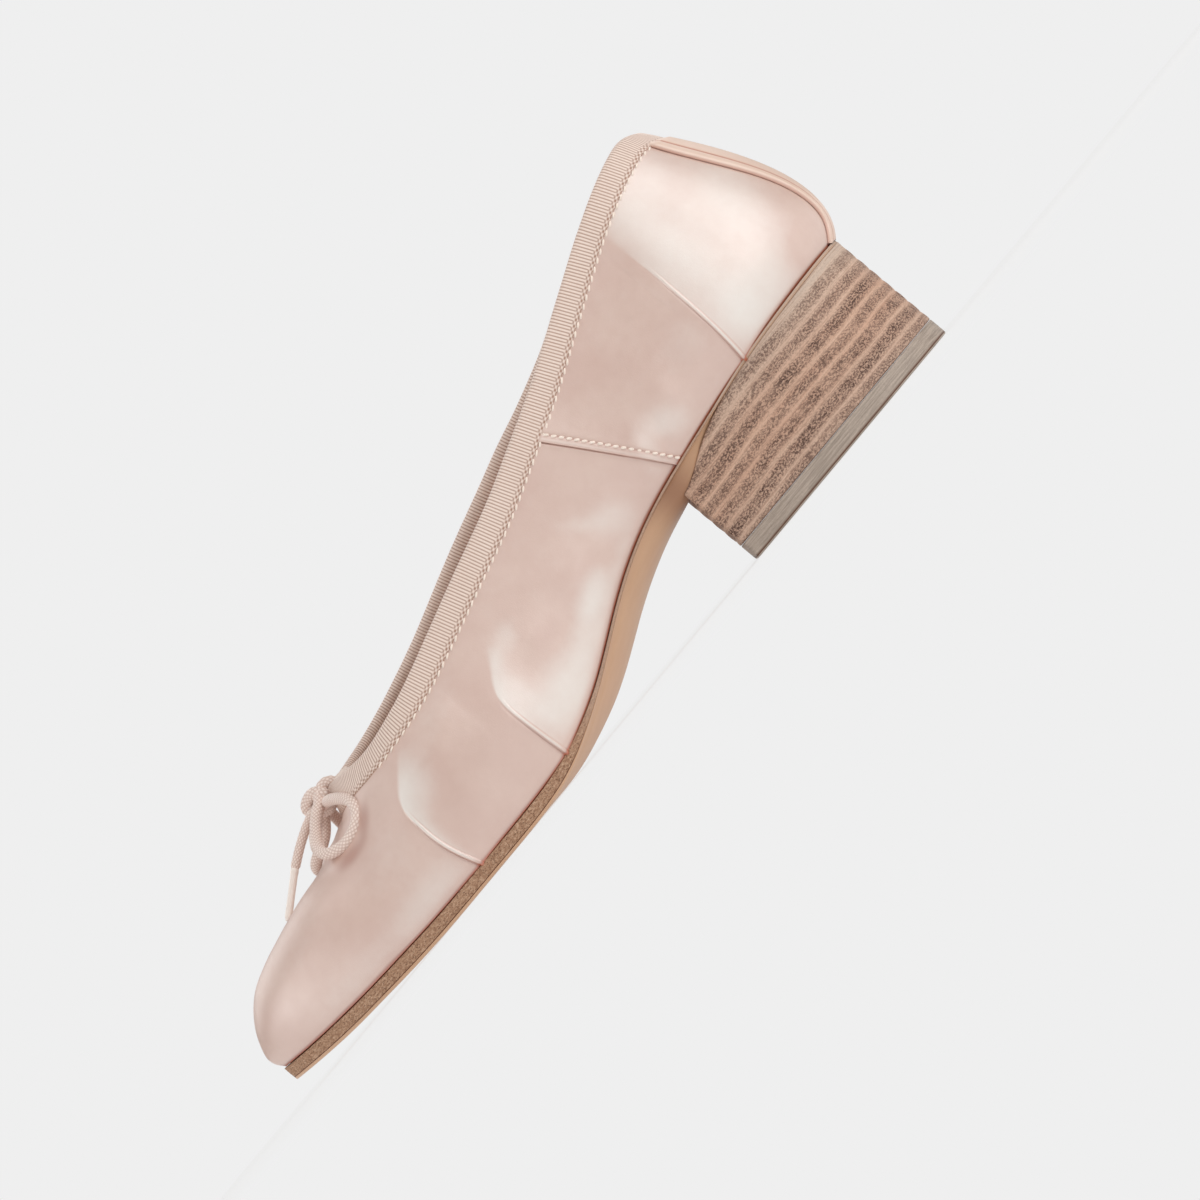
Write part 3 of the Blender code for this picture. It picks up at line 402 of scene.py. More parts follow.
# ================================================================ mesh helpers
class Sheet:
    """Gathers grids of points, welds them and makes one mesh piece."""

    def __init__(self, name):
        self.name, self.points, self.quads, self.lift, self.tone, self.slots, self.count = name, [], [], [], [], [], 0

    def grid(self, pts, lift=None, tone=None, flip=False, slot=0, close=False):
        """pts: rows x columns x 3 in millimetres; lift: how far each moves along its normal; close joins last row to first."""
        pts = np.asarray(pts, float)
        r, c = pts.shape[:2]
        self.points.append(pts.reshape(-1, 3))
        self.lift.append(np.zeros(r * c) if lift is None else np.asarray(lift, float).reshape(-1))
        self.tone.append(np.ones(r * c) if tone is None else np.asarray(tone, float).reshape(-1))
        i = np.arange(r * c).reshape(r, c)
        if close:
            i = np.vstack([i, i[:1]])
        q = np.stack([i[:-1, :-1], i[1:, :-1], i[1:, 1:], i[:-1, 1:]], axis=-1).reshape(-1, 4) + self.count
        self.quads.append(q[:, ::-1] if flip else q)
        s = np.asarray(slot)
        if s.ndim == 0:
            s = np.full(len(q), int(slot))
        elif s.ndim == 1:          # one slot for each column of quads
            s = np.tile(s, i.shape[0] - 1)
        else:
            s = s.reshape(-1)
        self.slots.append(s)
        self.count += r * c

    def build(self, mats, weld=0.004, smooth_shade=True):
        p, q = np.concatenate(self.points), np.concatenate(self.quads)
        lift, tone, slots = np.concatenate(self.lift), np.concatenate(self.tone), np.concatenate(self.slots)
        key = np.round(p / weld).astype(np.int64)
        _, first, back = np.unique(key, axis=0, return_index=True, return_inverse=True)
        back = back.reshape(-1)
        n = len(first)
        p = p[first]
        hits = np.bincount(back, minlength=n)
        lift = np.bincount(back, lift, n) / hits
        tone = np.bincount(back, tone, n) / hits
        q = back[q]
        a, b, c, d = p[q[:, 0]], p[q[:, 1]], p[q[:, 2]], p[q[:, 3]]
        fn = np.cross(c - a, d - b)
        vn = np.zeros_like(p)
        for k in range(4):
            np.add.at(vn, q[:, k], fn)
        vn /= np.maximum(np.linalg.norm(vn, axis=1), 1e-12)[:, None]
        p = p + vn * lift[:, None]
        dup = np.stack([q[:, k] == q[:, (k + 1) % 4] for k in range(4)], axis=1)
        good = dup.sum(axis=1) == 0
        quads, tris = q[good], []
        for row, dd in zip(q[~good], dup[~good]):
            if dd.sum() == 1:
                t = [row[k] for k in range(4) if not dd[k]]
                if len(set(t)) == 3:
                    tris.append(t)
        bad = (quads[:, 0] == quads[:, 2]) | (quads[:, 1] == quads[:, 3])
        qs = slots[good][~bad]
        quads = quads[~bad]
        ts = slots[~good][[dd.sum() == 1 and len({row[k] for k in range(4) if not dd[k]}) == 3
                           for row, dd in zip(q[~good], dup[~good])]] if (~good).any() else np.zeros(0, int)
        me = bpy.data.meshes.new(self.name)
        co = place(p)
        nq, nt = len(quads), len(tris)
        me.vertices.add(len(co))
        me.vertices.foreach_set("co", co.astype(np.float32).ravel())
        loops = np.concatenate([quads.ravel(), np.array(tris, dtype=np.int64).ravel()]).astype(np.int32)
        me.loops.add(len(loops))
        me.loops.foreach_set("vertex_index", loops)
        start = np.concatenate([np.arange(nq) * 4, nq * 4 + np.arange(nt) * 3]).astype(np.int32)
        me.polygons.add(nq + nt)
        me.polygons.foreach_set("loop_start", start)
        me.polygons.foreach_set("material_index", np.concatenate([qs, ts]).astype(np.int32))
        me.update(calc_edges=True)
        me.validate()
        col = me.attributes.new("tone", "FLOAT", "POINT")
        col.data.foreach_set("value", tone.astype(np.float32)[:len(me.vertices)])
        for m in (mats if isinstance(mats, (list, tuple)) else [mats]):
            me.materials.append(m)
        if smooth_shade:
            me.shade_smooth()
        loose = np.ones(len(me.vertices), bool)
        used = np.zeros(len(me.loops), np.int32)
        me.loops.foreach_get("vertex_index", used)
        loose[used] = False
        if loose.any():
            import bmesh
            bm = bmesh.new()
            bm.from_mesh(me)
            bmesh.ops.delete(bm, geom=[v for v in bm.verts if not v.link_faces], context="VERTS")
            bm.to_mesh(me)
            bm.free()
        ob = bpy.data.objects.new(self.name, me)
        bpy.context.scene.collection.objects.link(ob)
        return ob


def facing_out(ob, centre):
    """Flip the whole piece if most of its faces look towards a centre line (in metres)."""
    me = ob.data
    n = len(me.polygons)
    nor, cen = np.zeros(n * 3), np.zeros(n * 3)
    me.polygons.foreach_get("normal", nor)
    me.polygons.foreach_get("center", cen)
    nor, cen = nor.reshape(-1, 3), cen.reshape(-1, 3)
    if ((cen - np.asarray(centre)) * nor).sum() < 0:
        me.flip_normals()


def own(piece, slot, *nodes):
    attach(piece, "root")
    if nodes:
        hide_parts(*nodes)
    return piece


def along(points, step):
    """Points spaced evenly along a smooth curve through a table's points."""
    p = np.array(points, float)
    at = np.concatenate([[0.0], np.cumsum(np.linalg.norm(np.diff(p, axis=0), axis=1))])
    t = np.linspace(0, at[-1], 1200)
    fine = np.stack([spline(at, p[:, k])(t) for k in range(3)], axis=1)
    d = np.concatenate([[0.0], np.cumsum(np.linalg.norm(np.diff(fine, axis=0), axis=1))])
    n = max(int(round(d[-1] / step)), 4)
    want = np.linspace(0.0, d[-1], n + 1)
    return np.stack([np.interp(want, d, fine[:, k]) for k in range(3)], axis=1), d[-1]


def frames(path):
    """Tangent and two crosswise directions along a path, without twist."""
    t = np.gradient(path, axis=0)
    t /= np.linalg.norm(t, axis=1)[:, None]
    a = np.cross(t[0], [0.0, 0.0, 1.0])
    a /= np.linalg.norm(a)
    out = [a]
    for k in range(1, len(path)):
        a = out[-1] - t[k] * (out[-1] @ t[k])
        out.append(a / np.linalg.norm(a))
    a = np.array(out)
    return t, a, np.cross(t, a)


# ================================================================ material helpers
def rgb(r, g, b):
    """Screen colour 0-255 to a linear one."""
    return tuple((c / 255 / 12.92) if c <= 10 else ((c / 255 + 0.055) / 1.055) ** 2.4 for c in (r, g, b)) + (1.0,)


class Mat:
    """A small builder for procedural materials in the shoe's own coordinates, in millimetres."""

    def __init__(self, name, rough=0.5, metallic=0.0, specular=0.5, sheen=0.0, sheen_rough=0.5, coat=0.0,
                 coat_rough=0.1, aniso=0.0, subsurface=0.0):
        self.m = bpy.data.materials.new(name)
        self.m.use_nodes = True
        self.t = self.m.node_tree
        self.p = self.t.nodes["Principled BSDF"]
        for key, value in (("Roughness", rough), ("Metallic", metallic), ("Specular IOR Level", specular),
                           ("Sheen Weight", sheen), ("Sheen Roughness", sheen_rough), ("Coat Weight", coat),
                           ("Coat Roughness", coat_rough), ("Anisotropic", aniso), ("Subsurface Weight", subsurface)):
            self.p.inputs[key].default_value = value
        co = self.t.nodes.new("ShaderNodeTexCoord")
        mp = self.t.nodes.new("ShaderNodeMapping")
        mp.inputs["Scale"].default_value = (1000.0, 1000.0, 1000.0)
        self.t.links.new(co.outputs["Object"], mp.inputs["Vector"])
        self.mm = mp.outputs["Vector"]

    def link(self, a, b):
        self.t.links.new(a, b)

    def put(self, socket, value):
        if hasattr(value, "is_output"):
            self.link(value, socket)
        else:
            socket.default_value = value

    def stretch(self, scale, rotation=(0, 0, 0), vector=None):
        n = self.t.nodes.new("ShaderNodeMapping")
        n.inputs["Scale"].default_value = scale
        n.inputs["Rotation"].default_value = rotation
        self.link(vector or self.mm, n.inputs["Vector"])
        return n.outputs["Vector"]

    def noise(self, size, detail=2.0, rough=0.5, distort=0.0, vector=None):
        n = self.t.nodes.new("ShaderNodeTexNoise")
        n.inputs["Scale"].default_value = 1.0 / size
        n.inputs["Detail"].default_value = detail
        n.inputs["Roughness"].default_value = rough
        n.inputs["Distortion"].default_value = distort
        self.link(vector or self.mm, n.inputs["Vector"])
        return n.outputs["Fac"]

    def voronoi(self, size, vector=None, feature="F1", out="Distance", randomness=1.0):
        n = self.t.nodes.new("ShaderNodeTexVoronoi")
        n.feature = feature
        n.inputs["Scale"].default_value = 1.0 / size
        n.inputs["Randomness"].default_value = randomness
        self.link(vector or self.mm, n.inputs["Vector"])
        return n.outputs[out]

    def wave(self, pitch, direction="X", distort=0.0, detail=1.0, detail_scale=1.0, vector=None):
        n = self.t.nodes.new("ShaderNodeTexWave")
        n.wave_type = "BANDS"
        n.bands_direction = direction
        n.inputs["Scale"].default_value = 2 * math.pi / (20.0 * pitch)
        n.inputs["Distortion"].default_value = distort
        n.inputs["Detail"].default_value = detail
        n.inputs["Detail Scale"].default_value = detail_scale
        self.link(vector or self.mm, n.inputs["Vector"])
        return n.outputs["Fac"]

    def math(self, op, a, b=0.0, c=0.0, clamp=False):
        n = self.t.nodes.new("ShaderNodeMath")
        n.operation = op
        n.use_clamp = clamp
        for i, x in enumerate((a, b, c)):
            if i < len(n.inputs):
                self.put(n.inputs[i], x)
        return n.outputs[0]

    def remap(self, value, a, b, to_a=0.0, to_b=1.0, soft=True):
        n = self.t.nodes.new("ShaderNodeMapRange")
        n.interpolation_type = "SMOOTHSTEP" if soft else "LINEAR"
        for key, x in (("Value", value), ("From Min", a), ("From Max", b), ("To Min", to_a), ("To Max", to_b)):
            self.put(n.inputs[key], x)
        return n.outputs["Result"]

    def mix(self, factor, a, b, mode="MIX"):
        n = self.t.nodes.new("ShaderNodeMix")
        n.data_type = "RGBA"
        n.blend_type = mode
        self.put(n.inputs[0], factor)
        self.put(n.inputs[6], a)
        self.put(n.inputs[7], b)
        return n.outputs[2]

    def ramp(self, value, stops):
        n = self.t.nodes.new("ShaderNodeValToRGB")
        e = n.color_ramp.elements
        while len(e) < len(stops):
            e.new(0.5)
        for k, (at, col) in enumerate(stops):
            e[k].position, e[k].color = at, col
        self.link(value, n.inputs["Fac"])
        return n.outputs["Color"]

    def attribute(self, name):
        n = self.t.nodes.new("ShaderNodeAttribute")
        n.attribute_name = name
        return n.outputs["Fac"]

    def axis(self, which, vector=None):
        n = self.t.nodes.new("ShaderNodeSeparateXYZ")
        self.link(vector or self.mm, n.inputs[0])
        return n.outputs[which]

    def bump(self, height, depth, strength=1.0, under=None):
        """depth in millimetres for a height of 1."""
        n = self.t.nodes.new("ShaderNodeBump")
        n.inputs["Strength"].default_value = strength
        n.inputs["Distance"].default_value = depth * MM
        self.link(height, n.inputs["Height"])
        if under is not None:
            self.link(under, n.inputs["Normal"])
        return n.outputs["Normal"]

    def done(self, color=None, rough=None, normal=None):
        if color is not None:
            self.put(self.p.inputs["Base Color"], color)
        if rough is not None:
            self.put(self.p.inputs["Roughness"], rough)
        if normal is not None:
            self.link(normal, self.p.inputs["Normal"])
        return self.m


# ================================================================ camera
VIEW_CENTRE = Vector((-0.0138, 0.0, 0.0230))
CAM_DISTANCE, FRAME_WIDTH, ROLL, RISE = 2.0, 0.2913, 50.21, 0.56   # rise: how far the camera looks upwards


def make_camera():
    cam = bpy.data.cameras.new("camera")
    cam.sensor_width = 36.0
    cam.lens = 36.0 * CAM_DISTANCE / FRAME_WIDTH
    ob = bpy.data.objects.new("camera", cam)
    bpy.context.scene.collection.objects.link(ob)
    rise, roll = math.radians(RISE), math.radians(ROLL)
    look = Vector((0.0, -math.cos(rise), math.sin(rise)))
    right0 = Vector((-1.0, 0.0, 0.0))
    up0 = right0.cross(look)
    right = right0 * math.cos(roll) - up0 * math.sin(roll)
    up = right0 * math.sin(roll) + up0 * math.cos(roll)
    m = Matrix((right, up, -look)).transposed().to_4x4()
    m.translation = VIEW_CENTRE - look * CAM_DISTANCE
    ob.matrix_world = m
    bpy.context.scene.camera = ob
    return ob


make_camera()


# ================================================================ the bow: cords first
CORD_D, END_D, AGLET_D = 3.0, 2.35, 1.9
TAB_HOLE = {"lateral": (184.3, 1.5, 43.3), "medial": (184.3, -1.6, 43.3)}
INTO_KNOT = {
    "lateral": [(184.9, 1.6, 44.9), (186.3, 1.7, 45.8), (188.2, 2.0, 45.5)],
    "medial": [(184.9, -1.8, 44.5), (186.3, -2.4, 45.2), (188.4, -3.4, 45.2)],
}
LOOPS = {
    "lateral": [
        (190.5, 3.9, 43.9), (193.6, 7.4, 42.0), (196.3, 11.4, 39.8), (198.1, 15.2, 37.6), (198.8, 18.6, 35.7),
        (198.0, 21.8, 34.0), (195.6, 24.4, 32.8), (192.3, 26.2, 32.3), (188.9, 27.0, 32.9), (186.0, 26.6, 34.6),
        (184.7, 24.4, 37.0), (185.2, 20.4, 39.3), (186.8, 15.0, 41.1), (188.3, 9.6, 42.1), (189.2, 5.6, 42.3),
    ],
    "medial": [
        (190.6, -5.4, 44.6), (191.2, -9.8, 43.0), (191.5, -15.4, 40.2), (192.0, -21.4, 36.7), (193.2, -26.6, 33.2),
        (195.2, -30.2, 31.2), (199.0, -31.4, 30.8), (202.4, -30.2, 31.6), (204.3, -27.0, 32.9), (204.4, -23.0, 34.5),
        (202.8, -19.2, 35.7), (200.1, -15.8, 36.6), (197.2, -12.2, 37.7), (194.6, -8.9, 39.4), (192.2, -6.0, 41.5),
    ],
}
OUT_OF_KNOT = {
    "lateral": [(190.3, 3.0, 42.6), (192.4, 1.9, 43.0)],
    "medial": [(190.7, -3.2, 42.8), (191.6, -1.3, 43.3), (193.3, -0.5, 43.6)],
}
ENDS = {
    "lateral": [(195.2, 1.9, 43.0), (198.2, 2.9, 42.1), (201.3, 3.9, 40.8), (204.3, 4.9, 39.3), (206.9, 5.8, 37.9)],
    "medial": [(195.0, -1.6, 43.1), (196.2, -4.4, 42.0), (197.2, -8.4, 40.9), (198.4, -13.0, 40.0), (199.8, -17.8, 38.9),
               (201.2, -22.4, 37.4)],
}
AGLETS = {
    "lateral": [(207.3, 5.95, 37.65), (216.9, 9.0, 31.4)],
    "medial": [(201.3, -22.75, 37.25), (204.3, -33.0, 33.9)],
}
KNOT_RING = [  # station, y, z of the strand that ties the bow, once round
    (188.6, 2.5, 45.2), (190.3, 1.0, 46.5), (192.8, -0.9, 46.1), (194.0, -2.6, 44.5), (192.4, -3.0, 42.3),
    (190.5, -1.3, 41.3), (188.9, 1.2, 41.6), (188.1, 2.9, 43.2),
]


def tube(sheet, path, radius, around, relief=None, closed=False, slot=0, ends=True):
    """Add a tube of rings to a sheet. radius is a number or one for each ring; relief gives height by angle and length,
    and a tone that paints shade into its hollows and highlight onto its crests.
    """
    t, a, b = frames(path)
    if closed:
        t = np.roll(path, -1, axis=0) - np.roll(path, 1, axis=0)
        t /= np.linalg.norm(t, axis=1)[:, None]
        mid = path.mean(axis=0)
        a = path - mid
        a -= t * (a * t).sum(axis=1)[:, None]
        a /= np.linalg.norm(a, axis=1)[:, None]
        b = np.cross(t, a)
    r = np.broadcast_to(np.asarray(radius, float), (len(path),))
    th = np.linspace(0, 2 * math.pi, around + 1)
    l = np.concatenate([[0.0], np.cumsum(np.linalg.norm(np.diff(path, axis=0), axis=1))])
    h = np.zeros((len(path), around + 1)) if relief is None else relief(th[None, :], l[:, None])
    tone = np.ones_like(h) if relief is None else 0.5 + 0.5 * (h - h.min()) / max(float(np.ptp(h)), 1e-9)
    rr = r[:, None] + h
    pts = path[:, None, :] + rr[..., None] * (np.cos(th)[None, :, None] * a[:, None, :]
                                               + np.sin(th)[None, :, None] * b[:, None, :])
    sheet.grid(pts, tone=tone, close=closed, slot=slot)
    if ends and not closed:
        for k, sign in ((0, -1.0), (-1, 1.0)):
            rings = [path[k] + (pts[k] - path[k]) * math.cos(q) + t[k] * sign * r[k] * 0.7 * math.sin(q)
                     for q in np.linspace(0, math.pi / 2, 6)]
            rings[-1] = np.repeat((path[k] + t[k] * sign * r[k] * 0.7)[None], around + 1, axis=0)
            sheet.grid(np.array(rings), tone=np.repeat(tone[k][None], 6, axis=0), flip=(sign < 0), slot=slot)


def braid(th, l):
    """Little diamonds of a braided cord."""
    n, pitch = 9, 1.25
    k = 2 * math.pi / pitch
    u, w = n * th + k * l, n * th - k * l
    return 0.055 * (np.cos(u) + np.cos(w)) * 0.5 + 0.03 * np.cos(u) * np.cos(w)


def cord_material():
    m = Mat("cord_braid", rough=0.62, specular=0.35, sheen=0.25, sheen_rough=0.4)
    tone = m.attribute("tone")
    n = m.noise(1.6, 3.0)
    # painted shade in the braid's hollows, painted highlight on its crests
    base = m.mix(m.remap(tone, 0.25, 0.85), rgb(184, 146, 128), rgb(250, 235, 226))
    base = m.mix(m.math("MULTIPLY", n, 0.25), base, rgb(226, 200, 188))
    fine = m.noise(0.16, 2.0, 0.7)
    return m.done(base, normal=m.bump(fine, 0.05, 0.7))


def aglet_material():
    m = Mat("aglet_film", rough=0.28, specular=0.5, coat=0.25, coat_rough=0.15)
    n = m.noise(0.9, 2.0)
    return m.done(m.mix(n, rgb(246, 232, 222), rgb(252, 242, 234)), normal=m.bump(m.noise(0.5, 2.0), 0.03, 0.5))


CORD_MAT, AGLET_MAT = cord_material(), aglet_material()


def make_bow():
    pieces = {}
    ring = Sheet("bow_knot_strand")
    p = np.array(KNOT_RING)
    loop = np.vstack([p, p[:1]])
    at = np.arange(len(loop), dtype=float)
    # a closed smooth curve through the ring's points
    tt = np.linspace(0, len(p), 181)[:-1]
    wide = np.vstack([p[-3:], p, p[:3]])
    wat = np.arange(-3, len(p) + 3, dtype=float)
    path = np.stack([spline(wat, wide[:, k])(tt) for k in range(3)], axis=1)
    tube(ring, path, 1.5, 54, relief=braid, closed=True)
    pieces["knot"] = own(ring.build(CORD_MAT), "cord", "bow_knot")
    for side in SIDE:
        pts = [TAB_HOLE[side]] + INTO_KNOT[side] + LOOPS[side] + OUT_OF_KNOT[side] + ENDS[side]
        path, length = along(pts, 0.16)
        l = np.linspace(0, length, len(path))
        end_at = length - sum(math.dist(a, b) for a, b in zip(ENDS[side], ENDS[side][1:]))
        radius = (CORD_D + (END_D - CORD_D) * smooth((l - end_at + 2.0) / 3.0)) / 2 * 0.975
        radius = radius * (1 - 0.30 * smooth((l - length + 1.2) / 1.2))
        s = Sheet("bow_cord_" + side)
        tube(s, path, radius, 54, relief=braid)
        cord = s.build(CORD_MAT)
        ag = Sheet("bow_tip_" + side)
        a, b = (np.array(q) for q in AGLETS[side])
        d = (b - a) / np.linalg.norm(b - a)
        start = a - d * 0.5
        reach = np.linalg.norm(b - start)
        k = np.linspace(0, 1, 60)
        line = start + np.outer(k, b - start)
        r = AGLET_D / 2 * (1.0 + 0.10 * gauss(k * reach - 0.5, 0.5) - 0.05 * np.sin(math.pi * k) ** 2
                           - 0.25 * smooth((k * reach - reach + 0.5) / 0.5))
        tube(ag, line, r, 28)
        tip = own(ag.build(AGLET_MAT), "aglet", "aglet_" + side)
        own(cord, "cord", "bow_loop_" + side, "bow_end_" + side)
        coarse = path[::12] if (len(path) - 1) % 12 == 0 else np.vstack([path[::12], path[-1:]])
        pieces[side] = (cord, tip, coarse, length)
    for side in SIDE:
        cord, tip, coarse, length = pieces[side]
        w = place(coarse)
        tuple(float(c) for c in w[0])
        [tuple(map(float, q)) for q in w]
    return pieces


BOW = make_bow()


# ================================================================ the upper: satin with its tucks
# Lines drawn on the satin: station for each height, from the sole up (side view).
def line(points):
    return spline([p[0] for p in points], [p[1] for p in points])


TUCKS = {  # z, station
    "lateral": [
        line([(28, 44.6), (33.1, 43.3), (38, 42.5), (44, 41.9), (50, 41.6), (60.3, 41.3), (66, 41.3), (72, 41.5), (78, 41.8), (84, 42.2)]),
        line([(0, 142.7), (5.2, 142.9), (12, 143.3), (19, 143.6), (24, 143.4), (28, 142.0), (31.5, 139.2), (35, 136.2),
              (40, 133.8), (46, 132.0)]),
        line([(0, 174.6), (4.6, 176.0), (11.2, 177.8), (16, 178.4), (21.3, 178.3), (28.4, 176.4), (33.5, 171.4), (38.5, 166.4)]),
    ],
    "medial": [
        line([(28, 43.6), (33.1, 43.5), (47, 43.3), (60.3, 43.1), (66, 42.6), (72, 40.4), (78, 37.4), (84, 33.6)]),
        line([(0, 138.5), (5.2, 138.7), (12, 139.0), (19, 139.2), (24, 139.0), (28, 137.6), (31.5, 135.2), (35, 132.6),
              (40, 130.2), (46, 128.6)]),
        line([(0, 170.6), (4.6, 172.0), (11.2, 173.7), (21.3, 174.0), (28.4, 172.4), (33.5, 168.4), (39, 163.6)]),
    ],
}
SEAM_LOW, SEAM_HIGH = (72.2, 29.1), (90.2, 60.0)
SEAM = line([(20, SEAM_LOW[0] - 5.1)] + [(SEAM_LOW[1] + (SEAM_HIGH[1] - SEAM_LOW[1]) * k,
            SEAM_LOW[0] + (SEAM_HIGH[0] - SEAM_LOW[0]) * k) for k in (0, 0.25, 0.5, 0.75, 1.0)] + [(70, 95.0)])
ANCHORS = [0.0, 0.90, 1.34, 1.93, 2.42, 2.72, 5.0]
N_COLS = 96
STRIP_ROW = 0.24


def strip_row(v):
    """Row of the back strip's edge for each height up the back: it widens towards the top."""
    return spline([-0.1, 0.0, 0.12, 0.30, 0.50, 0.70, 0.95, 1.1], [0.25, 0.24, 0.195, 0.187, 0.22, 0.272, 0.325, 0.34])(v)


def spaced(lengths, marks, wide, fine, reach):
    """Positions along 0..1 of a stretch of that length, close together near the marks at its ends."""
    n = 4000
    x = np.linspace(0, lengths, n)
    near = np.full(n, 1e9)
    if marks[0]:
        near = np.minimum(near, x)
    if marks[1]:
        near = np.minimum(near, lengths - x)
    h = fine + (wide - fine) * smooth((near - reach * 0.3) / (reach * 1.2))
    count = np.concatenate([[0.0], np.cumsum(1.0 / h[:-1] * np.diff(x))])
    k = max(int(round(count[-1])), 2)
    return np.interp(np.linspace(0, count[-1], k + 1), count, x) / lengths


class Skin:
    """Fine grid of the outer face of one side, with rows bent so that they run along the tucks and the side seam."""

    def __init__(self, side):
        self.side = side
        self.v = np.linspace(0, 1, N_COLS)
        self.rows = np.concatenate([np.linspace(0, 1, 261), np.linspace(1, 2, 261)[1:], np.linspace(2, 3, 321)[1:],
                                    np.linspace(3, 4, 221)[1:], np.linspace(4, 5, 261)[1:]])
        self.pts = np.array([section(side, r, self.v) for r in self.rows])
        # ease the change from the vamp to the toe's two halves
        step = np.linalg.norm(np.diff(self.pts[:, N_COLS // 3], axis=0), axis=1)
        d = np.concatenate([[0.0], np.cumsum(step)])
        even = np.linspace(0, d[-1], 1400)
        s0 = np.array([np.interp(even, d, self.pts[:, N_COLS // 3, 0])])[0]
        for sigma, w0, w1, w2, w3 in ((6.5, 184.0, 196.0, 220.0, 236.0),):
            k = np.arange(-120, 121) * (even[1] - even[0])
            g = np.exp(-0.5 * (k / sigma) ** 2)
            g /= g.sum()
            out = self.pts.copy()
            for j in range(N_COLS):
                for c in range(3):
                    q = np.interp(even, d, self.pts[:, j, c])
                    pad = np.concatenate([2 * q[0] - q[120:0:-1], q, 2 * q[-1] - q[-2:-122:-1]])
                    out[:, j, c] = np.interp(d, even, np.convolve(pad, g, mode="valid"))
            s_ = self.pts[..., 0]
            w = smooth((s_ - w0) / (w1 - w0)) * (1 - smooth((s_ - w2) / (w3 - w2)))
            w = w * smooth(self.v / 0.22)[None, :] * (1 - smooth((self.v - 0.88) / 0.11))[None, :]
            self.pts = self.pts * (1 - w[..., None]) + out * w[..., None]
        a, b, c = TUCKS[side]
        self.lines = [a, SEAM, b, c]
        cross = []
        for k, ln in enumerate(self.lines):
            want = ANCHORS[k + 1]
            got = []
            ok = (self.rows > want - 0.5) & (self.rows < want + 0.5) & (self.rows < 2.95)
            for j in range(N_COLS):
                s, z = self.pts[ok, j, 0], self.pts[ok, j, 2]
                f = s - ln(z)
                r = self.rows[ok]
                i = np.nonzero((f[:-1] <= 0) & (f[1:] > 0))[0]
                if len(i):
                    i = i[0]
                    got.append(r[i] + (r[i + 1] - r[i]) * (-f[i]) / (f[i + 1] - f[i]))
                else:
                    got.append(r[0] if f[0] > 0 else r[-1])
            cross.append(np.array(got))
        self.cross = cross

    def row_map(self, t):
        """Row for each (t, column)."""
        t = np.asarray(t, float)
        out = np.empty((len(t), N_COLS))
        for j in range(N_COLS):
            xs, ys = ANCHORS, [0.0] + [c[j] for c in self.cross] + [2.72, 5.0]
            out[:, j] = np.interp(t, xs, ys)
        return out

    def at(self, t):
        """Points (t, column, 3) and their rows."""
        rm = self.row_map(t)
        out = np.empty(rm.shape + (3,))
        for j in range(N_COLS):
            for k in range(3):
                out[:, j, k] = np.interp(rm[:, j], self.rows, self.pts[:, j, k])
        return out, rm


SKIN = {side: Skin(side) for side in SIDE}


def t_positions():
    """Where the satin's rows of points lie, the same for both sides."""
    foot = SKIN["lateral"].pts[:, [0, N_COLS // 2], :]
    arc = np.concatenate([[0.0], np.cumsum(np.linalg.norm(np.diff(foot, axis=0), axis=2).mean(axis=1))])
    rows = SKIN["lateral"].rows
    length = lambda a, b: float(np.interp(b, rows, arc) - np.interp(a, rows, arc))
    marks = [False, True, True, True, True, False]
    parts = []
    a = ANCHORS
    for k in range(5):
        n = spaced(length(a[k], a[k + 1]), (k > 0, k < 4), 0.62, 0.14, 2.2)
        parts.append(a[k] + (a[k + 1] - a[k]) * n)
    n = spaced(length(a[5], a[6]), (False, False), 0.62, 0.14, 2.2)
    parts.append(a[5] + (a[6] - a[5]) * n)
    return parts


T_PARTS = t_positions()


def signed_distance(p, ln):
    """Side-view distance to a line, positive on the heel side of it."""
    s, z = p[..., 0], p[..., 2]
    slope = (ln(z + 0.2) - ln(z - 0.2)) / 0.4
    return (ln(z) - s) / np.sqrt(1 + slope ** 2)


TUCK_FORM = {  # for each tuck: z, lip height, lip width, ridge height heelward, its reach, ridge height toeward, its reach
    "lateral": [
        [(30, 0.55, 0.9, 0.60, 8.0, 0.60, 9.0), (40, 0.45, 0.8, 0.80, 10.0, 0.85, 12.0),
         (52, 0.36, 0.7, 0.90, 11.0, 1.00, 13.0), (60, 0.20, 0.7, 0.85, 11.0, 0.95, 12.0),
         (66, 0.0, 0.9, 0.60, 10.0, 0.70, 11.0), (73, 0.0, 1.0, 0.20, 9.0, 0.25, 10.0), (80, 0, 1, 0, 8, 0, 8)],
        [(2, 0.62, 0.95, 0.45, 8.0, 0.40, 7.0), (8, 0.55, 0.90, 0.70, 9.0, 0.70, 9.0),
         (16, 0.44, 0.80, 0.95, 9.0, 0.95, 11.0), (22, 0.20, 0.80, 0.95, 7.5, 0.95, 10.0),
         (26.5, 0.0, 0.9, 0.75, 6.0, 0.70, 8.0), (31.5, 0.0, 1.0, 0.38, 5.0, 0.30, 6.0), (37, 0, 1, 0, 4, 0, 4)],
        [(2, 0.62, 0.95, 0.40, 6.0, 0.30, 6.0), (8, 0.55, 0.90, 0.60, 7.0, 0.45, 7.0),
         (16, 0.42, 0.80, 0.80, 7.0, 0.55, 8.0), (22, 0.22, 0.80, 0.85, 6.5, 0.55, 8.0),
         (27.5, 0.0, 0.9, 0.72, 5.5, 0.42, 6.0), (32.5, 0.0, 1.0, 0.36, 4.5, 0.18, 5.0), (37, 0, 1, 0, 3, 0, 4)],
    ],
}
TUCK_FORM["medial"] = TUCK_FORM["lateral"]
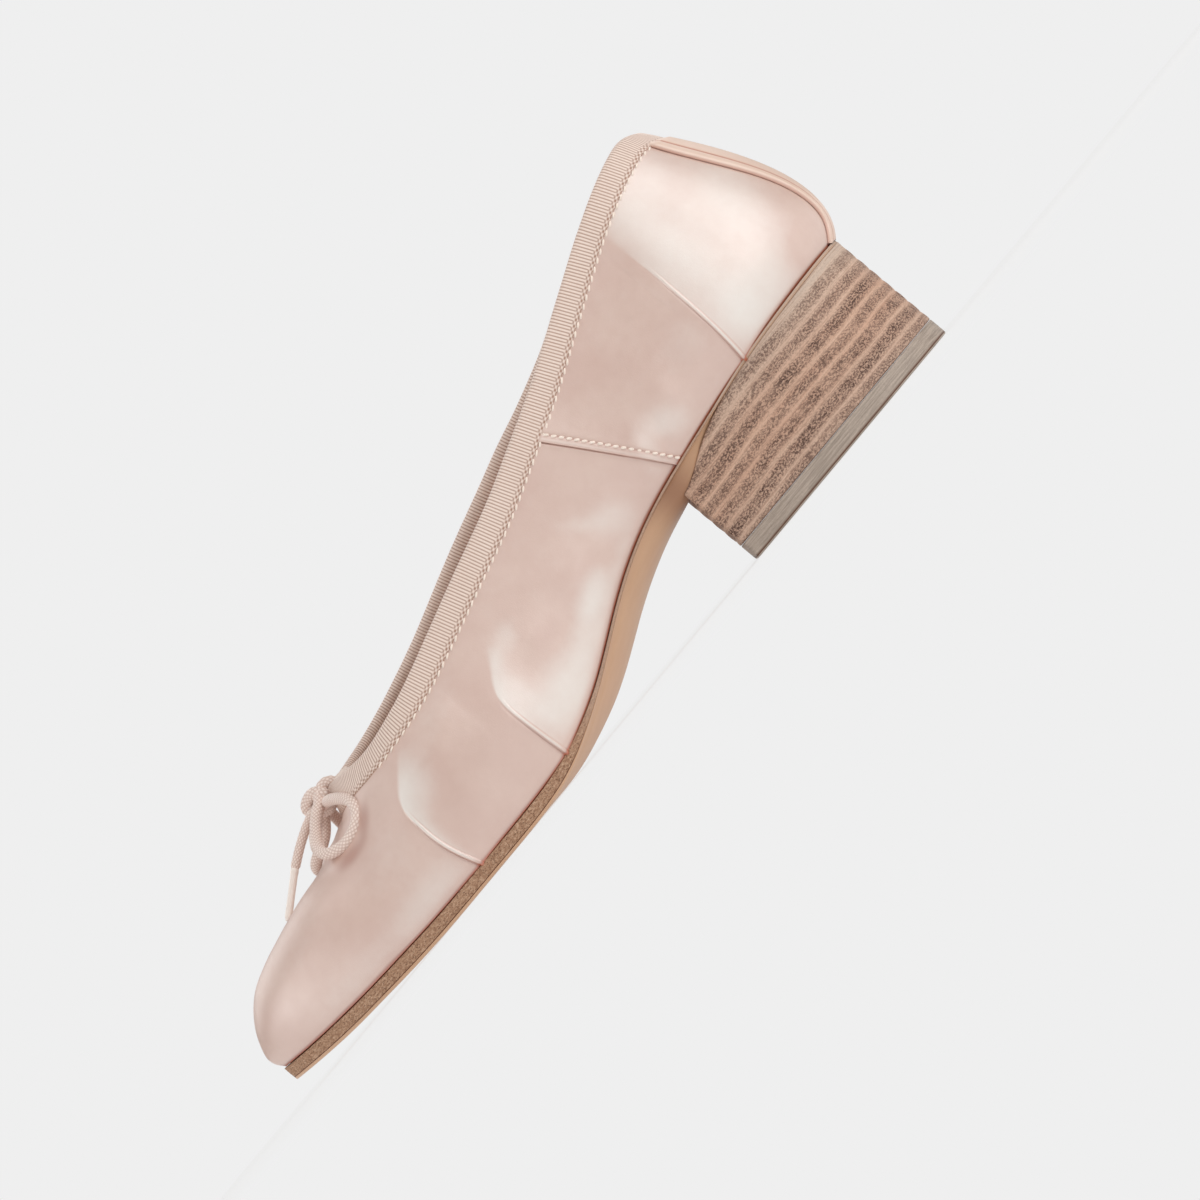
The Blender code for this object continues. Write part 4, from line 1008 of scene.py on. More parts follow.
HOLLOWS = {  # soft troughs and ridges: station, z, half-length along, half-length up, tilt in degrees, height
    "lateral": [
        (76.0, 37.5, 2.2, 5.5, 25.0, 0.40), (69.5, 36.5, 2.0, 6.0, 20.0, -0.28), (62.0, 41.0, 3.2, 6.0, 15.0, 0.30),
        (54.0, 47.0, 3.5, 8.0, 25.0, -0.25), (118.0, 20.5, 9.0, 3.5, -25.0, -0.30), (108.0, 31.0, 7.0, 3.0, -30.0, 0.30),
        (100.0, 38.0, 8.0, 4.0, -30.0, -0.22), (127.0, 27.0, 5.0, 4.0, -35.0, 0.26), (158.0, 20.0, 6.0, 7.0, 0.0, -0.30),
        (30.0, 70.0, 5.0, 6.0, 0.0, -0.20), (24.0, 44.0, 7.0, 5.0, 0.0, 0.18), (203.0, 20.0, 9.0, 7.0, 0.0, -0.15),
        (203.5, 31.5, 8.5, 6.5, 0.0, 1.15),
    ],
    "medial": [
        (74.0, 40.0, 3.0, 6.0, 25.0, 0.35), (66.0, 42.0, 3.0, 6.0, 20.0, -0.25), (115.0, 24.0, 9.0, 4.0, -25.0, -0.35),
        (106.0, 33.0, 7.0, 4.0, -30.0, 0.30), (125.0, 30.0, 6.0, 4.0, -35.0, 0.26), (156.0, 22.0, 6.0, 7.0, 0.0, -0.25),
        (206.0, 20.0, 9.0, 7.0, 0.0, -0.15), (203.5, 31.5, 8.5, 6.5, 0.0, 1.15),
    ],
}


def tuck_relief(p, side):
    """Height of the satin's tucks and soft creases, and painted shade in their folds as tone."""
    h, tone = np.zeros(p.shape[:2]), np.ones(p.shape[:2])
    z = p[..., 2]
    a, b, c = TUCKS[side]
    for ln, form in zip((a, b, c), TUCK_FORM[side]):
        x = signed_distance(p, ln)
        f = [spline([r[0] for r in form], [r[k] for r in form])(z) for k in range(1, 7)]
        lip, width, back, back_reach, fore, fore_reach = [np.maximum(q, 0.0) for q in f]
        near = np.abs(x) < 40
        xp, xn = np.maximum(x, 0), np.maximum(-x, 0)
        step = smooth((x + 0.12) / 0.26)
        fold = step * lip * (1 - 0.55 * smooth((x - width * 0.75) / 0.35)) * np.exp(-np.maximum(x - width, 0) / 3.0)
        sharp = 2.0 - 0.75 * np.clip(lip / 0.4, 0, 1)
        top = np.maximum(back, fore)
        ridge = np.where(x > 0, top * np.exp(-(xp / np.maximum(back_reach, 0.5)) ** sharp),
                         top * np.exp(-(xn / np.maximum(fore_reach, 0.5)) ** sharp))
        groove = -0.30 * lip * gauss(x + 0.32, 0.22)
        h += np.where(near, fold + ridge + groove, 0.0)
        # painted shade in each tuck's groove, beside its lip and on its toe side
        depth = np.clip(lip / 0.5, 0, 1)
        tone -= np.where(near, 0.42 * depth * gauss(x + 0.20, 0.20) + 0.16 * depth * gauss(x - width - 0.15, 0.18)
                         + 0.10 * depth * gauss(x + 0.7, 0.7), 0.0)
    for s0, z0, ls, lz, tilt, height in HOLLOWS[side]:
        q = math.radians(tilt)
        ds, dz = p[..., 0] - s0, p[..., 2] - z0
        u, w = ds * math.cos(q) + dz * math.sin(q), -ds * math.sin(q) + dz * math.cos(q)
        h += height * np.exp(-(u / ls) ** 2 - (w / lz) ** 2)
    return h, tone


PAINTED_SHEEN = {  # painted highlights (amount above 0) and painted shade (amount below 0) on the satin: station, z, half-length along, half-length up, tilt, amount, tuck, side
    "lateral": [
        (25.0, 62.0, 13.0, 15.0, 6.0, 0.38, 0, 1), (13.0, 60.0, 6.5, 16.0, 12.0, 0.30, 0, 1), (36.0, 58.0, 7.0, 26.0, 0.0, 0.42, 0, 1),
        (27.0, 79.0, 13.0, 6.0, -12.0, 0.30, 0, 1), (29.0, 40.0, 13.0, 8.5, -5.0, 0.66, 0, 1), (12.0, 39.5, 7.5, 4.2, -8.0, -0.36, 0, 1),
        (51.0, 70.5, 9.0, 4.0, -25.0, -0.20, 0, -1),
        (66.5, 38.0, 6.0, 3.6, 35.0, 0.42, None, 1), (74.5, 36.5, 2.6, 5.5, 20.0, 0.28, None, 1),
        (49.0, 47.0, 8.0, 5.0, 10.0, 0.12, 0, -1), (56.0, 63.0, 12.0, 10.0, -15.0, -0.26, 0, -1), (79.0, 55.0, 8.0, 6.5, -25.0, -0.20, None, 1),
        (92.5, 33.0, 5.5, 4.0, 30.0, 0.36, None, 1), (98.5, 38.0, 5.0, 2.0, 45.0, 0.22, None, 1),
        (109.0, 25.0, 6.5, 3.2, -20.0, 0.66, None, 1), (117.0, 19.5, 8.0, 4.0, -24.0, 0.48, 1, 1),
        (131.0, 14.5, 10.0, 6.5, -20.0, 0.76, 1, 1), (139.5, 22.0, 4.0, 10.0, 0.0, 0.46, 1, 1),
        (130.5, 34.5, 3.6, 2.6, -35.0, 0.32, 1, 1), (136.5, 33.5, 3.0, 2.6, -40.0, 0.38, 1, 1),
        (104.0, 21.5, 12.0, 2.6, -28.0, 0.34, None, 1), (124.5, 27.0, 6.0, 3.5, -10.0, -0.22, 1, 1), (101.5, 29.5, 2.6, 5.0, -25.0, -0.12, None, 1),
        (160.0, 20.0, 11.0, 9.0, 0.0, -0.10, 1, -1), (154.0, 37.0, 8.0, 4.0, -15.0, 0.12, None, 1),
        (189.0, 8.5, 11.0, 4.5, 0.0, 0.36, 2, -1), (188.0, 22.0, 9.0, 6.0, -20.0, 0.10, 2, -1), (172.0, 27.5, 5.5, 5.0, -40.0, 0.42, 2, 1),
        (236.0, 15.0, 10.0, 12.0, -30.0, -0.14, None, 1), (214.0, 9.0, 18.0, 4.0, 2.0, 0.14, None, 1), (222.0, 26.0, 12.0, 4.0, -12.0, 0.06, None, 1),
        # painted shadow of the bow's loop on the vamp
        (186.0, 32.3, 4.5, 1.6, -37.0, -0.42, None, 1), (194.5, 29.0, 5.5, 1.7, -3.0, -0.46, None, 1),
    ],
}
PAINTED_SHEEN["medial"] = [(s - (3.0 if s > 100 else -1.5), z, ls, lz, q, k, t, d) for s, z, ls, lz, q, k, t, d in PAINTED_SHEEN["lateral"]]
TUCK_LIGHT = {  # painted highlight beside each tuck, on its heel side: z, brightness, width
    0: [(30, 0.8, 1.2), (40, 0.7, 1.0), (48, 0.5, 1.2), (60, 0.35, 1.6), (66, 0.2, 2.5), (72, 0.0, 3.0)],
    1: [(2, 0.60, 0.9), (12, 0.60, 1.1), (20, 0.68, 1.9), (26, 0.70, 2.6), (31, 0.46, 3.0), (35, 0.12, 3.0), (39, 0.0, 3.0)],
    2: [(2, 0.60, 0.9), (10, 0.68, 1.1), (16, 0.78, 1.9), (22, 0.82, 3.4), (28, 0.82, 4.6), (33, 0.48, 4.4), (37, 0.0, 3.0)],
}
SOFT_EDGE = [(64.0, 92.0), (26.0, 36.0), (26.0, 35.0)]     # heights over which each tuck's edge goes soft


def sheen(p, side):
    """Painted highlights and painted shade for the satin's tone, on either side of its tucks."""
    out = np.zeros(p.shape[:2])
    z = p[..., 2]
    gate = []
    for k, ln in enumerate(TUCKS[side]):
        x = signed_distance(p, ln)
        soft = 0.35 + (7.0 if k == 0 else 4.0) * smooth((z - SOFT_EDGE[k][0]) / (SOFT_EDGE[k][1] - SOFT_EDGE[k][0]))
        gate.append((x, soft))
    for s0, z0, ls, lz, tilt, amount, tuck, way in PAINTED_SHEEN[side]:
        q = math.radians(tilt)
        ds, dz = p[..., 0] - s0, z - z0
        u, w = ds * math.cos(q) + dz * math.sin(q), -ds * math.sin(q) + dz * math.cos(q)
        f = amount * np.exp(-((u / ls) ** 2 + (w / lz) ** 2) ** 1.35)
        if tuck is not None:
            x, soft = gate[tuck]
            f = f * smooth(0.5 + way * x / soft)
        out += f
    for k, form in TUCK_LIGHT.items():
        x, soft = gate[k]
        b, w = (np.maximum(spline([r[0] for r in form], [r[n] for r in form])(np.clip(z, form[0][0], form[-1][0])), 0.0) for n in (1, 2))
        w = np.maximum(w, 0.5)
        f = b * np.exp(-(np.maximum(x - 0.15, 0) / w) ** 1.6) * smooth(0.5 + (x - 0.05) / np.minimum(soft, 1.2))
        out += np.where(np.abs(x) < 30, f * (1 - np.clip(out, 0, 1)), 0.0)
        # painted shade on each tuck's toe side
        shade = 0.16 * np.minimum(b, 0.8) * np.exp(-(np.maximum(-x, 0) / 2.2) ** 1.5) * smooth(-x / 0.5)
        out -= np.where(np.abs(x) < 20, shade, 0.0)
    return np.clip(out, -0.6, 1.0)


def satin_grid(t, side, raise_edge=False):
    pts, rm = SKIN[side].at(t)
    h, tone = tuck_relief(pts, side)
    x = signed_distance(pts, SEAM)
    if raise_edge:                      # the quarter lies on the vamp, its folded edge along the seam
        xx = np.maximum(x, 0.0)
        h += 0.50 * np.exp(-(xx / 5.0) ** 1.5) - 0.16 * gauss(xx - 1.6, 0.42) - 0.04 * gauss(xx - 0.8, 0.25)
        # painted shade along the stitch row
        tone -= 0.45 * gauss(xx - 1.6, 0.36)
    else:                               # the vamp's edge runs on under the quarter
        h += -0.25 * smooth((x + 0.1) / 0.5) - 0.22 * gauss(x + 0.25, 0.35)
        # painted shade where the vamp runs under the quarter's edge
        tone -= 0.34 * gauss(x + 0.20, 0.32) + 0.12 * gauss(x + 0.9, 0.8)
    # a groove beside the back strip, with painted shade in it
    foot = pts[:, :, :2]
    near = np.linalg.norm(np.gradient(pts, axis=0), axis=2) / np.maximum(np.abs(np.gradient(rm, axis=0)), 1e-9)
    d = (rm - strip_row(SKIN[side].v)[None, :]) * near
    h += -0.24 * gauss(d, 0.40) * (rm < 1) - 0.30 * smooth(-d / 0.4) * (rm < 1)
    tone -= 0.66 * gauss(d - 0.12, 0.34) * (rm < 1) + 0.08 * gauss(d - 0.9, 0.8) * (rm < 1)
    # pulled in where it is lasted under
    v = SKIN[side].v[None, :]
    fall = np.linalg.norm(np.diff(pts, axis=1), axis=2).sum(axis=1)[:, None] * v
    # painted shade along the sole line, where the satin is lasted under
    tone -= 0.62 * gauss(fall, 0.40) + 0.10 * gauss(fall, 1.6)
    h += -0.10 * gauss(fall, 0.8)
    # painted highlights and painted shade, added to the tone
    light = sheen(pts, side)
    # painted highlight along the quarter's folded edge
    if raise_edge:
        light = np.maximum(light, 0.20 * gauss(xx - 0.45, 0.30))
    tone = np.where(tone > 0.9, tone + light * smooth((tone - 0.9) / 0.1), tone)
    return pts, rm, h, tone


def under_flange(pts, rm, side, tone):
    """The lasting margin: the satin turned in under the foot."""
    n = np.array([foot_outward(side, r) for r in rm[:, 0]])
    f = pts[:, 0]
    rows = np.stack([f, f - n * 0.10 - UP * 0.22, f - n * 1.2 - UP * 0.295], axis=1)
    return rows


def top_flange(pts, rm, side):
    """The satin's raw edge, under the band."""
    k = rm[:, -1] <= 3.0
    e = pts[k, -1]
    out = []
    for p, r in zip(e, rm[k, -1]):
        d, inward = band_direction(side, r), collar_inward(side, r)
        out.append([p, p + d * 0.5 + inward * 0.10, p + d * 1.6 + inward * 0.25])
    return np.array(out)


def split_flange(pts, rm, side):
    k = rm[:, -1] >= 4.0
    e = pts[k, -1]
    n = np.array([split_outward(side, r) for r in rm[k, -1]])
    return np.stack([e, e - n * 0.10 - UP * 0.22, e - n * 1.0 - UP * 0.295], axis=1)


def satin_material(name):
    m = Mat(name, rough=0.42, specular=0.5)
    m.p.inputs["IOR"].default_value = 2.5
    tone = m.attribute("tone")
    broad = m.noise(16.0, 2.0, 0.5)
    mottle = m.noise(3.4, 3.0, 0.6)
    base = m.mix(m.remap(broad, 0.3, 0.7), rgb(212, 179, 165), rgb(218, 188, 174))
    base = m.mix(m.math("MULTIPLY", m.remap(mottle, 0.35, 0.75), 0.22), base, rgb(204, 168, 153))
    # tone below 1: painted shade, brown and then orange in the deepest creases
    base = m.mix(m.remap(tone, 0.35, 1.0, 0.0, 1.0), rgb(176, 126, 108), base)
    base = m.mix(m.remap(tone, 0.0, 0.7, 1.0, 0.0), base, rgb(186, 86, 44))
    # tone above 1: painted highlight in cream
    base = m.mix(m.remap(m.math("ADD", tone, m.math("MULTIPLY", m.math("SUBTRACT", m.noise(2.6, 3.0, 0.6), 0.5), 0.22)), 1.0, 2.0, soft=False),
                 base, rgb(238, 231, 223))
    warp = m.noise(0.20, 2.0, 0.65, vector=m.stretch((1.0, 1.0, 0.30)))
    weft = m.noise(0.20, 2.0, 0.65, vector=m.stretch((0.30, 0.30, 1.0)))
    grain = m.math("ADD", warp, weft)
    ripple = m.noise(5.0, 2.0, 0.5)
    n = m.bump(ripple, 0.05, 1.0)
    n = m.bump(grain, 0.022, 1.0, under=n)
    rough = m.remap(m.noise(2.2, 3.0, 0.6), 0.3, 0.7, 0.39, 0.46)
    return m.done(base, rough, n)


def make_upper():
    satin = satin_material("satin_skin")
    quarter, vamp = Sheet("quarter_satin"), Sheet("vamp_satin")
    tq = np.concatenate([T_PARTS[0], T_PARTS[1][1:]])
    tv = np.concatenate(T_PARTS[2:3] + [p[1:] for p in T_PARTS[3:]])
    for side in SIDE:
        flip = side == "lateral"
        # quarter, with its edge rolled down on to the vamp
        pts, rm, h, tone = satin_grid(tq, side, raise_edge=True)
        ahead, _ = SKIN[side].at(np.array([ANCHORS[2] + 0.004]))
        step = ahead[0] - pts[-1]
        step /= np.linalg.norm(step, axis=1)[:, None]
        # the rolled edge's tone falls off to painted shade under the fold
        roll = [(0.08, 0.50, 0.95), (0.16, 0.45, 0.9), (0.23, 0.35, 0.85), (0.27, 0.20, 0.72), (0.285, 0.05, 0.60), (0.29, -0.15, 0.45)]
        extra = np.stack([pts[-1] + step * q[0] for q in roll])
        pts = np.concatenate([pts, extra])
        h = np.concatenate([h, np.stack([np.full(N_COLS, q[1]) for q in roll])])
        tone = np.concatenate([tone, np.stack([np.full(N_COLS, q[2]) for q in roll])])
        rm = np.concatenate([rm, np.repeat(rm[-1:], len(roll), axis=0)])
        quarter.grid(pts, h, tone, flip=flip)
        # the turned-in margin is in painted shade, tone 0.10
        quarter.grid(under_flange(pts, rm, side, tone), np.stack([h[:, 0]] * 3, axis=1) * [1, 1, 0], np.full((len(pts), 3), 0.10), flip=not flip)
        quarter.grid(top_flange(pts, rm, side), np.stack([h[:, -1]] * 3, axis=1) * [1, .5, 0], flip=flip)
        # vamp, from under the quarter to the toe
        back = ANCHORS[2] - np.array([0.020, 0.012, 0.007, 0.004, 0.002])
        pts, rm, h, tone = satin_grid(np.concatenate([back, tv]), side)
        vamp.grid(pts, h, tone, flip=flip)
        # the turned-in margin is in painted shade, tone 0.10
        vamp.grid(under_flange(pts, rm, side, tone), np.stack([h[:, 0]] * 3, axis=1) * [1, 1, 0], np.full((len(pts), 3), 0.10), flip=not flip)
        k = rm[:, -1] <= 3.0
        vamp.grid(top_flange(pts, rm, side), np.stack([h[k, -1]] * 3, axis=1) * [1, .5, 0], flip=flip)
        k = rm[:, -1] >= 4.0
        vamp.grid(split_flange(pts, rm, side), np.stack([h[k, -1]] * 3, axis=1) * [1, 1, 0], flip=flip)
    a = own(quarter.build(satin), "satin", "upper")
    b = own(vamp.build(satin), "satin", "upper")
    return a, b


QUARTER, VAMP = make_upper()


# ================================================================ rows for the plainer pieces
def even_rows(a, b, step, side="lateral", v=0.0):
    """Rows between a and b about a step apart along the feather line (v = 0) or the topline (v = 1)."""
    r = np.linspace(a, b, 1500)
    if v:
        q = np.array([collar_point(side, x) for x in r])
    else:
        q = np.array([foot_point(side, x) for x in r])
        q[:, 2] = 0
    d = np.concatenate([[0.0], np.cumsum(np.linalg.norm(np.diff(q, axis=0), axis=1))])
    n = max(int(round(d[-1] / step)), 2)
    return np.interp(np.linspace(0, d[-1], n + 1), d, r)


# ================================================================ lining
def lining_material():
    m = Mat("lining_leather", rough=0.55, specular=0.35)
    n = m.noise(7.0, 3.0, 0.5)
    pore = m.voronoi(0.7, randomness=1.0)
    base = m.mix(n, rgb(226, 200, 184), rgb(236, 214, 200))
    # tone below 1: painted shade
    base = m.mix(m.remap(m.attribute("tone"), 0.2, 1.0), rgb(150, 112, 94), base)
    return m.done(base, normal=m.bump(m.math("ADD", pore, m.noise(0.4, 3.0)), 0.05, 0.6))


def make_lining():
    s = Sheet("lining")
    v = np.linspace(0.02, 1.0, 44)
    d = 2e-3
    for side in SIDE:
        rows = np.concatenate([even_rows(0, 1, 1.2, side), even_rows(1, 2, 1.4, side)[1:], even_rows(2, 3, 1.2, side)[1:],
                               np.linspace(3, 4, 22)[1:], np.linspace(4, 4.97, 34)[1:]])
        p = np.array([section(side, r, v) for r in rows])
        a = np.array([section(side, min(r + d, 5.0), v) - section(side, max(r - d, 0.0), v) for r in rows])
        b = np.gradient(p, axis=1)
        n = np.cross(a, b) * -SIDE[side]
        n /= np.maximum(np.linalg.norm(n, axis=2), 1e-9)[..., None]
        low = smooth(np.linspace(0, 1, len(v)) / 0.14)[None, :, None]
        out = np.array([foot_outward(side, r) for r in rows])[:, None, :]
        n = out * (1 - low) + n * low
        k = rows <= 1e-9
        n[k, :, 1] = 0
        mid = (rows >= 3.0) & (rows <= 4.0)
        n[mid, -1, 1] = 0
        n /= np.maximum(np.linalg.norm(n, axis=2), 1e-9)[..., None]
        drop = 2.2 * smooth((rows - 3.05) / 0.5) * (1 - smooth((rows - 4.5) / 0.4))
        q = p - n * (WALL - 0.15 + drop[:, None, None] * smooth((v - 0.40) / 0.25)[None, :, None])
        tone = np.ones(q.shape[:2])
        # painted shade low down by the insole and deeper in the toe
        tone -= 0.5 * gauss(np.linspace(0, 1, len(v)) * 30, 2.0)[None, :]
        tone -= 0.45 * smooth((rows - 2.6) / 0.9)[:, None]
        s.grid(q, tone=tone, flip=(side == "medial"))
    return own(s.build(lining_material()), "sock_leather", "upper")


make_lining()


# ================================================================ insole
def plate_outer(side, row, inset):
    return foot_point(side, row) - foot_outward(side, row) * inset


def plate_inner(side, row, inset, split_inset):
    base = CLEFT_BASE - split_inset
    if row <= 4.0:
        if row <= 1.0:
            s = HEEL_END - (HEEL_END - BACK - inset) * superellipse(90.0 * row, HEEL_POWER)[0]
        else:
            s = row_station("lateral", row)
        if row > 3.0:
            s = FAN_FOOT + (base - FAN_FOOT) * (s - FAN_FOOT) / (CLEFT_BASE - FAN_FOOT)
        return np.array([s, float(spine_y(s)), 0.0])
    if row >= 5.0:
        return plate_outer(side, row, inset)
    tip = TOE[side]["tip"]
    s, n = row_station(side, row), split_outward(side, row)
    turn = float(smooth((s - TOE[side]["turn"]) / (tip - TOE[side]["turn"])))
    move = split_inset + (inset - split_inset) * turn
    return np.array([s - n[0] * move, inner_y(side, s) - n[1] * move, 0.0])


def outline_fraction(x, y):
    side = "lateral" if y >= 0 else "medial"
    w = abs(outer_y(side, x))
    return min(abs(y) / max(w, 1e-3), 1.0)


def sock_material():
    m = Mat("sock_leather", rough=0.5, specular=0.35)
    n = m.noise(12.0, 3.0, 0.5)
    grain = m.voronoi(0.8, randomness=1.0)
    base = m.mix(n, rgb(226, 200, 184), rgb(238, 216, 202))
    wear = m.remap(m.noise(30.0, 1.0), 0.45, 0.7)
    base = m.mix(m.math("MULTIPLY", wear, 0.25), base, rgb(206, 176, 158))
    # tone below 1: painted shade
    base = m.mix(m.remap(m.attribute("tone"), 0.2, 1.0), rgb(140, 102, 84), base)
    return m.done(base, normal=m.bump(m.math("ADD", grain, m.noise(0.3, 3.0)), 0.05, 0.6))


def make_insole():
    s = Sheet("insole_sock")
    inset = WALL + 0.25
    cols = np.concatenate([[0.0, 0.006, 0.02, 0.05, 0.09], np.linspace(0.14, 1.0, 16)])
    for side in SIDE:
        rows = np.concatenate([even_rows(0, 1, 1.4, side), even_rows(1, 2, 1.8, side)[1:], even_rows(2, 3, 1.8, side)[1:],
                               np.linspace(3, 4, 10)[1:], np.linspace(4, 5, 40)[1:]])
        top, bottom = [], []
        for r in rows:
            p, q = plate_outer(side, r, inset), plate_inner(side, r, inset, inset + 1.2)
            c = cols[:, None]
            line_ = p[None, :] * (1 - c) + q[None, :] * c
            w = np.linalg.norm(q - p)
            u = cols * w
            z = feather_z(line_[:, 0]) + 2.0
            z = z - 0.55 * (1 - np.sqrt(np.clip(1 - (1 - np.clip(u / 0.9, 0, 1)) ** 2, 0, 1)))
            z += 0.35 * np.exp(-(u / 4.0) ** 2) * (0.4 + 0.6 * smooth((140 - line_[:, 0]) / 60))
            if r >= 4.0:
                z -= 0.4 * (1 - np.clip((1 - cols) * w / 0.6, 0, 1))
            top.append(np.column_stack([line_[:, 0], line_[:, 1], z]))
            bottom.append(np.column_stack([line_[:, 0], line_[:, 1], feather_z(line_[:, 0])]))
        top, bottom = np.array(top), np.array(bottom)
        u = cols[None, :] * np.ones((len(rows), 1))
        # painted shade along the insole's edge, where it meets the lining
        tone = 1 - 0.4 * gauss(u * 26, 0.9)
        flip = side == "medial"
        s.grid(top, tone=tone, flip=flip)
        s.grid(bottom[:, ::-1], flip=flip)
        s.grid(np.stack([bottom[:, 0], top[:, 0]], axis=1), flip=flip)
        k = rows >= 4.0
        s.grid(np.stack([top[k, -1], bottom[k, -1]], axis=1), flip=flip)
    ob = s.build(sock_material())
    facing_out(ob, place((123, 0, 14)))
    return own(ob, "sock_leather", "insole")


make_insole()


# ================================================================ outsole
def edge_material():
    """Raw sole edge: brown, napped and speckled."""
    m = Mat("sole_edge", rough=0.75, specular=0.25)
    fibre = m.noise(0.55, 4.0, 0.75, vector=m.stretch((0.7, 0.7, 1.3)))
    speck = m.voronoi(0.55, randomness=1.0)
    base = m.ramp(m.remap(fibre, 0.25, 0.75, soft=False), [(0.0, rgb(96, 66, 48)), (0.45, rgb(166, 128, 102)), (1.0, rgb(228, 196, 168))])
    base = m.mix(m.remap(speck, 0.18, 0.36, 0.70, 0.0), base, rgb(66, 42, 30))
    base = m.mix(m.math("MULTIPLY", m.noise(9.0, 2.0), 0.5), base, rgb(166, 126, 98))
    waist = m.remap(m.axis("X"), 125.0 - MID_STATION, 142.0 - MID_STATION, 0.6, 0.0)
    base = m.mix(waist, base, rgb(188, 160, 142))
    seat = m.remap(m.axis("X"), 52.0 - MID_STATION, 62.0 - MID_STATION, 0.85, 0.0)
    base = m.mix(seat, base, rgb(194, 170, 152))
    # tone below 1: painted shade
    base = m.mix(m.remap(m.attribute("tone"), 0.2, 1.0), rgb(52, 30, 20), base)
    return m.done(base, normal=m.bump(fibre, 0.22, 0.9))


def bottom_material():
    """Natural leather sole: smooth, faintly streaked."""
    m = Mat("sole_bottom", rough=0.42, specular=0.45)
    streak = m.noise(3.0, 3.0, 0.6, vector=m.stretch((0.15, 1.0, 1.0)))
    cloud = m.noise(22.0, 2.0, 0.5)
    base = m.mix(streak, rgb(204, 163, 130), rgb(216, 178, 146))
    base = m.mix(m.math("MULTIPLY", cloud, 0.5), base, rgb(196, 152, 118))
    # tone below 1: painted shade
    base = m.mix(m.remap(m.attribute("tone"), 0.2, 1.0), rgb(120, 66, 38), base)
    fine = m.noise(0.35, 3.0, 0.6)
    return m.done(base, normal=m.bump(fine, 0.03, 0.6))


def sole_section(side, row):
    """Profile across the sole at a row: points, tone, slot."""
    p, q = plate_outer(side, row, -SOLE_MARGIN), plate_inner(side, row, -SOLE_MARGIN if row > 4.0 else 0.0, 0.0)
    w = np.linalg.norm((q - p)[:2])
    d = (q - p) / w if w > 1e-6 else -foot_outward(side, row)
    d[2] = 0
    x0 = p[0]
    thick = edge_thick(x0) - GAP
    thin = float(smooth((thick - 0.8) / 3.0))
    h1 = thick * (0.80 - 0.05 * thin)                # brown edge
    radius = min(0.35 + 1.5 * thin - 0.27 * float(smooth((50.0 - x0) / 8.0)), 0.45 * w)        # rounding of the bottom edge
    c = min(0.30, thick * 0.25)
    prof = []                                        # inset, drop from the top, tone (painted shade under the upper's edge and in the groove), slot
    for u in (min(6.0, w * 0.5), 3.0, 1.2, 0.6):
        prof.append((min(u, 0.49 * w), 0.0, 1.0 if u > 1 else 0.45, 0))
    for k in (0, 30, 60, 90):
        a = math.radians(k)
        prof.append((c * (1 - math.sin(a)), c * (1 - math.cos(a)), 0.45 + 0.55 * k / 90.0, 0))
    for k in (0.35, 0.62, 0.85, 0.97):
        prof.append((-0.10 * math.sin(math.pi * k) * thin, c + (h1 - c) * k, 1.0, 0))
    g = 0.10 + 0.10 * thin
    # painted shade in the groove above the bottom layer
    dark = 0.25 + 0.50 * (1 - thin) + 0.25 * float(smooth((46.0 - x0) / 8.0))
    prof += [(0.02, h1, 0.7, 0), (g, h1 + 0.07, dark, 0), (g, h1 + 0.14, dark, 1), (0.05, h1 + 0.22, 0.8, 1)]
    base = h1 + 0.22
    for k in (18, 36, 54, 72, 90):
        a = math.radians(k)
        prof.append((0.05 + (radius - 0.05) * (1 - math.cos(a)), base + (thick - base) * math.sin(a), 1.0, 1))
    pts, tone, slot = [], [], []
    top_z = feather_z(x0) - GAP
    for u, drop, tn, sl in prof:
        xy = p + d * u
        z = feather_z(xy[0]) - GAP - drop if u >= 0.6 and drop == 0 else top_z - drop
        pts.append([xy[0], xy[1], z])
        tone.append(tn)
        slot.append(sl)
    start = radius
    z_edge = top_z - thick
    for f in np.concatenate([np.linspace(0.0, 0.3, 8)[1:], np.linspace(0.3, 1.0, 12)[1:]]):
        u = start + (w - start) * f
        xy = p + d * u
        fr = outline_fraction(xy[0], xy[1])
        z = feather_z(xy[0]) - edge_thick(xy[0]) - crown_drop(xy[0]) * (1 - fr ** crown_power(xy[0]))
        k = float(smooth(f / 0.10))
        z = z if z > FLAT else 0.0
        z = z_edge * (1 - k) + z * k if f < 0.10 else z
        pts.append([xy[0], xy[1], max(z, 0.0)])
        tone.append(1.0)
        slot.append(1)
    return np.array(pts), np.array(tone), np.array(slot)


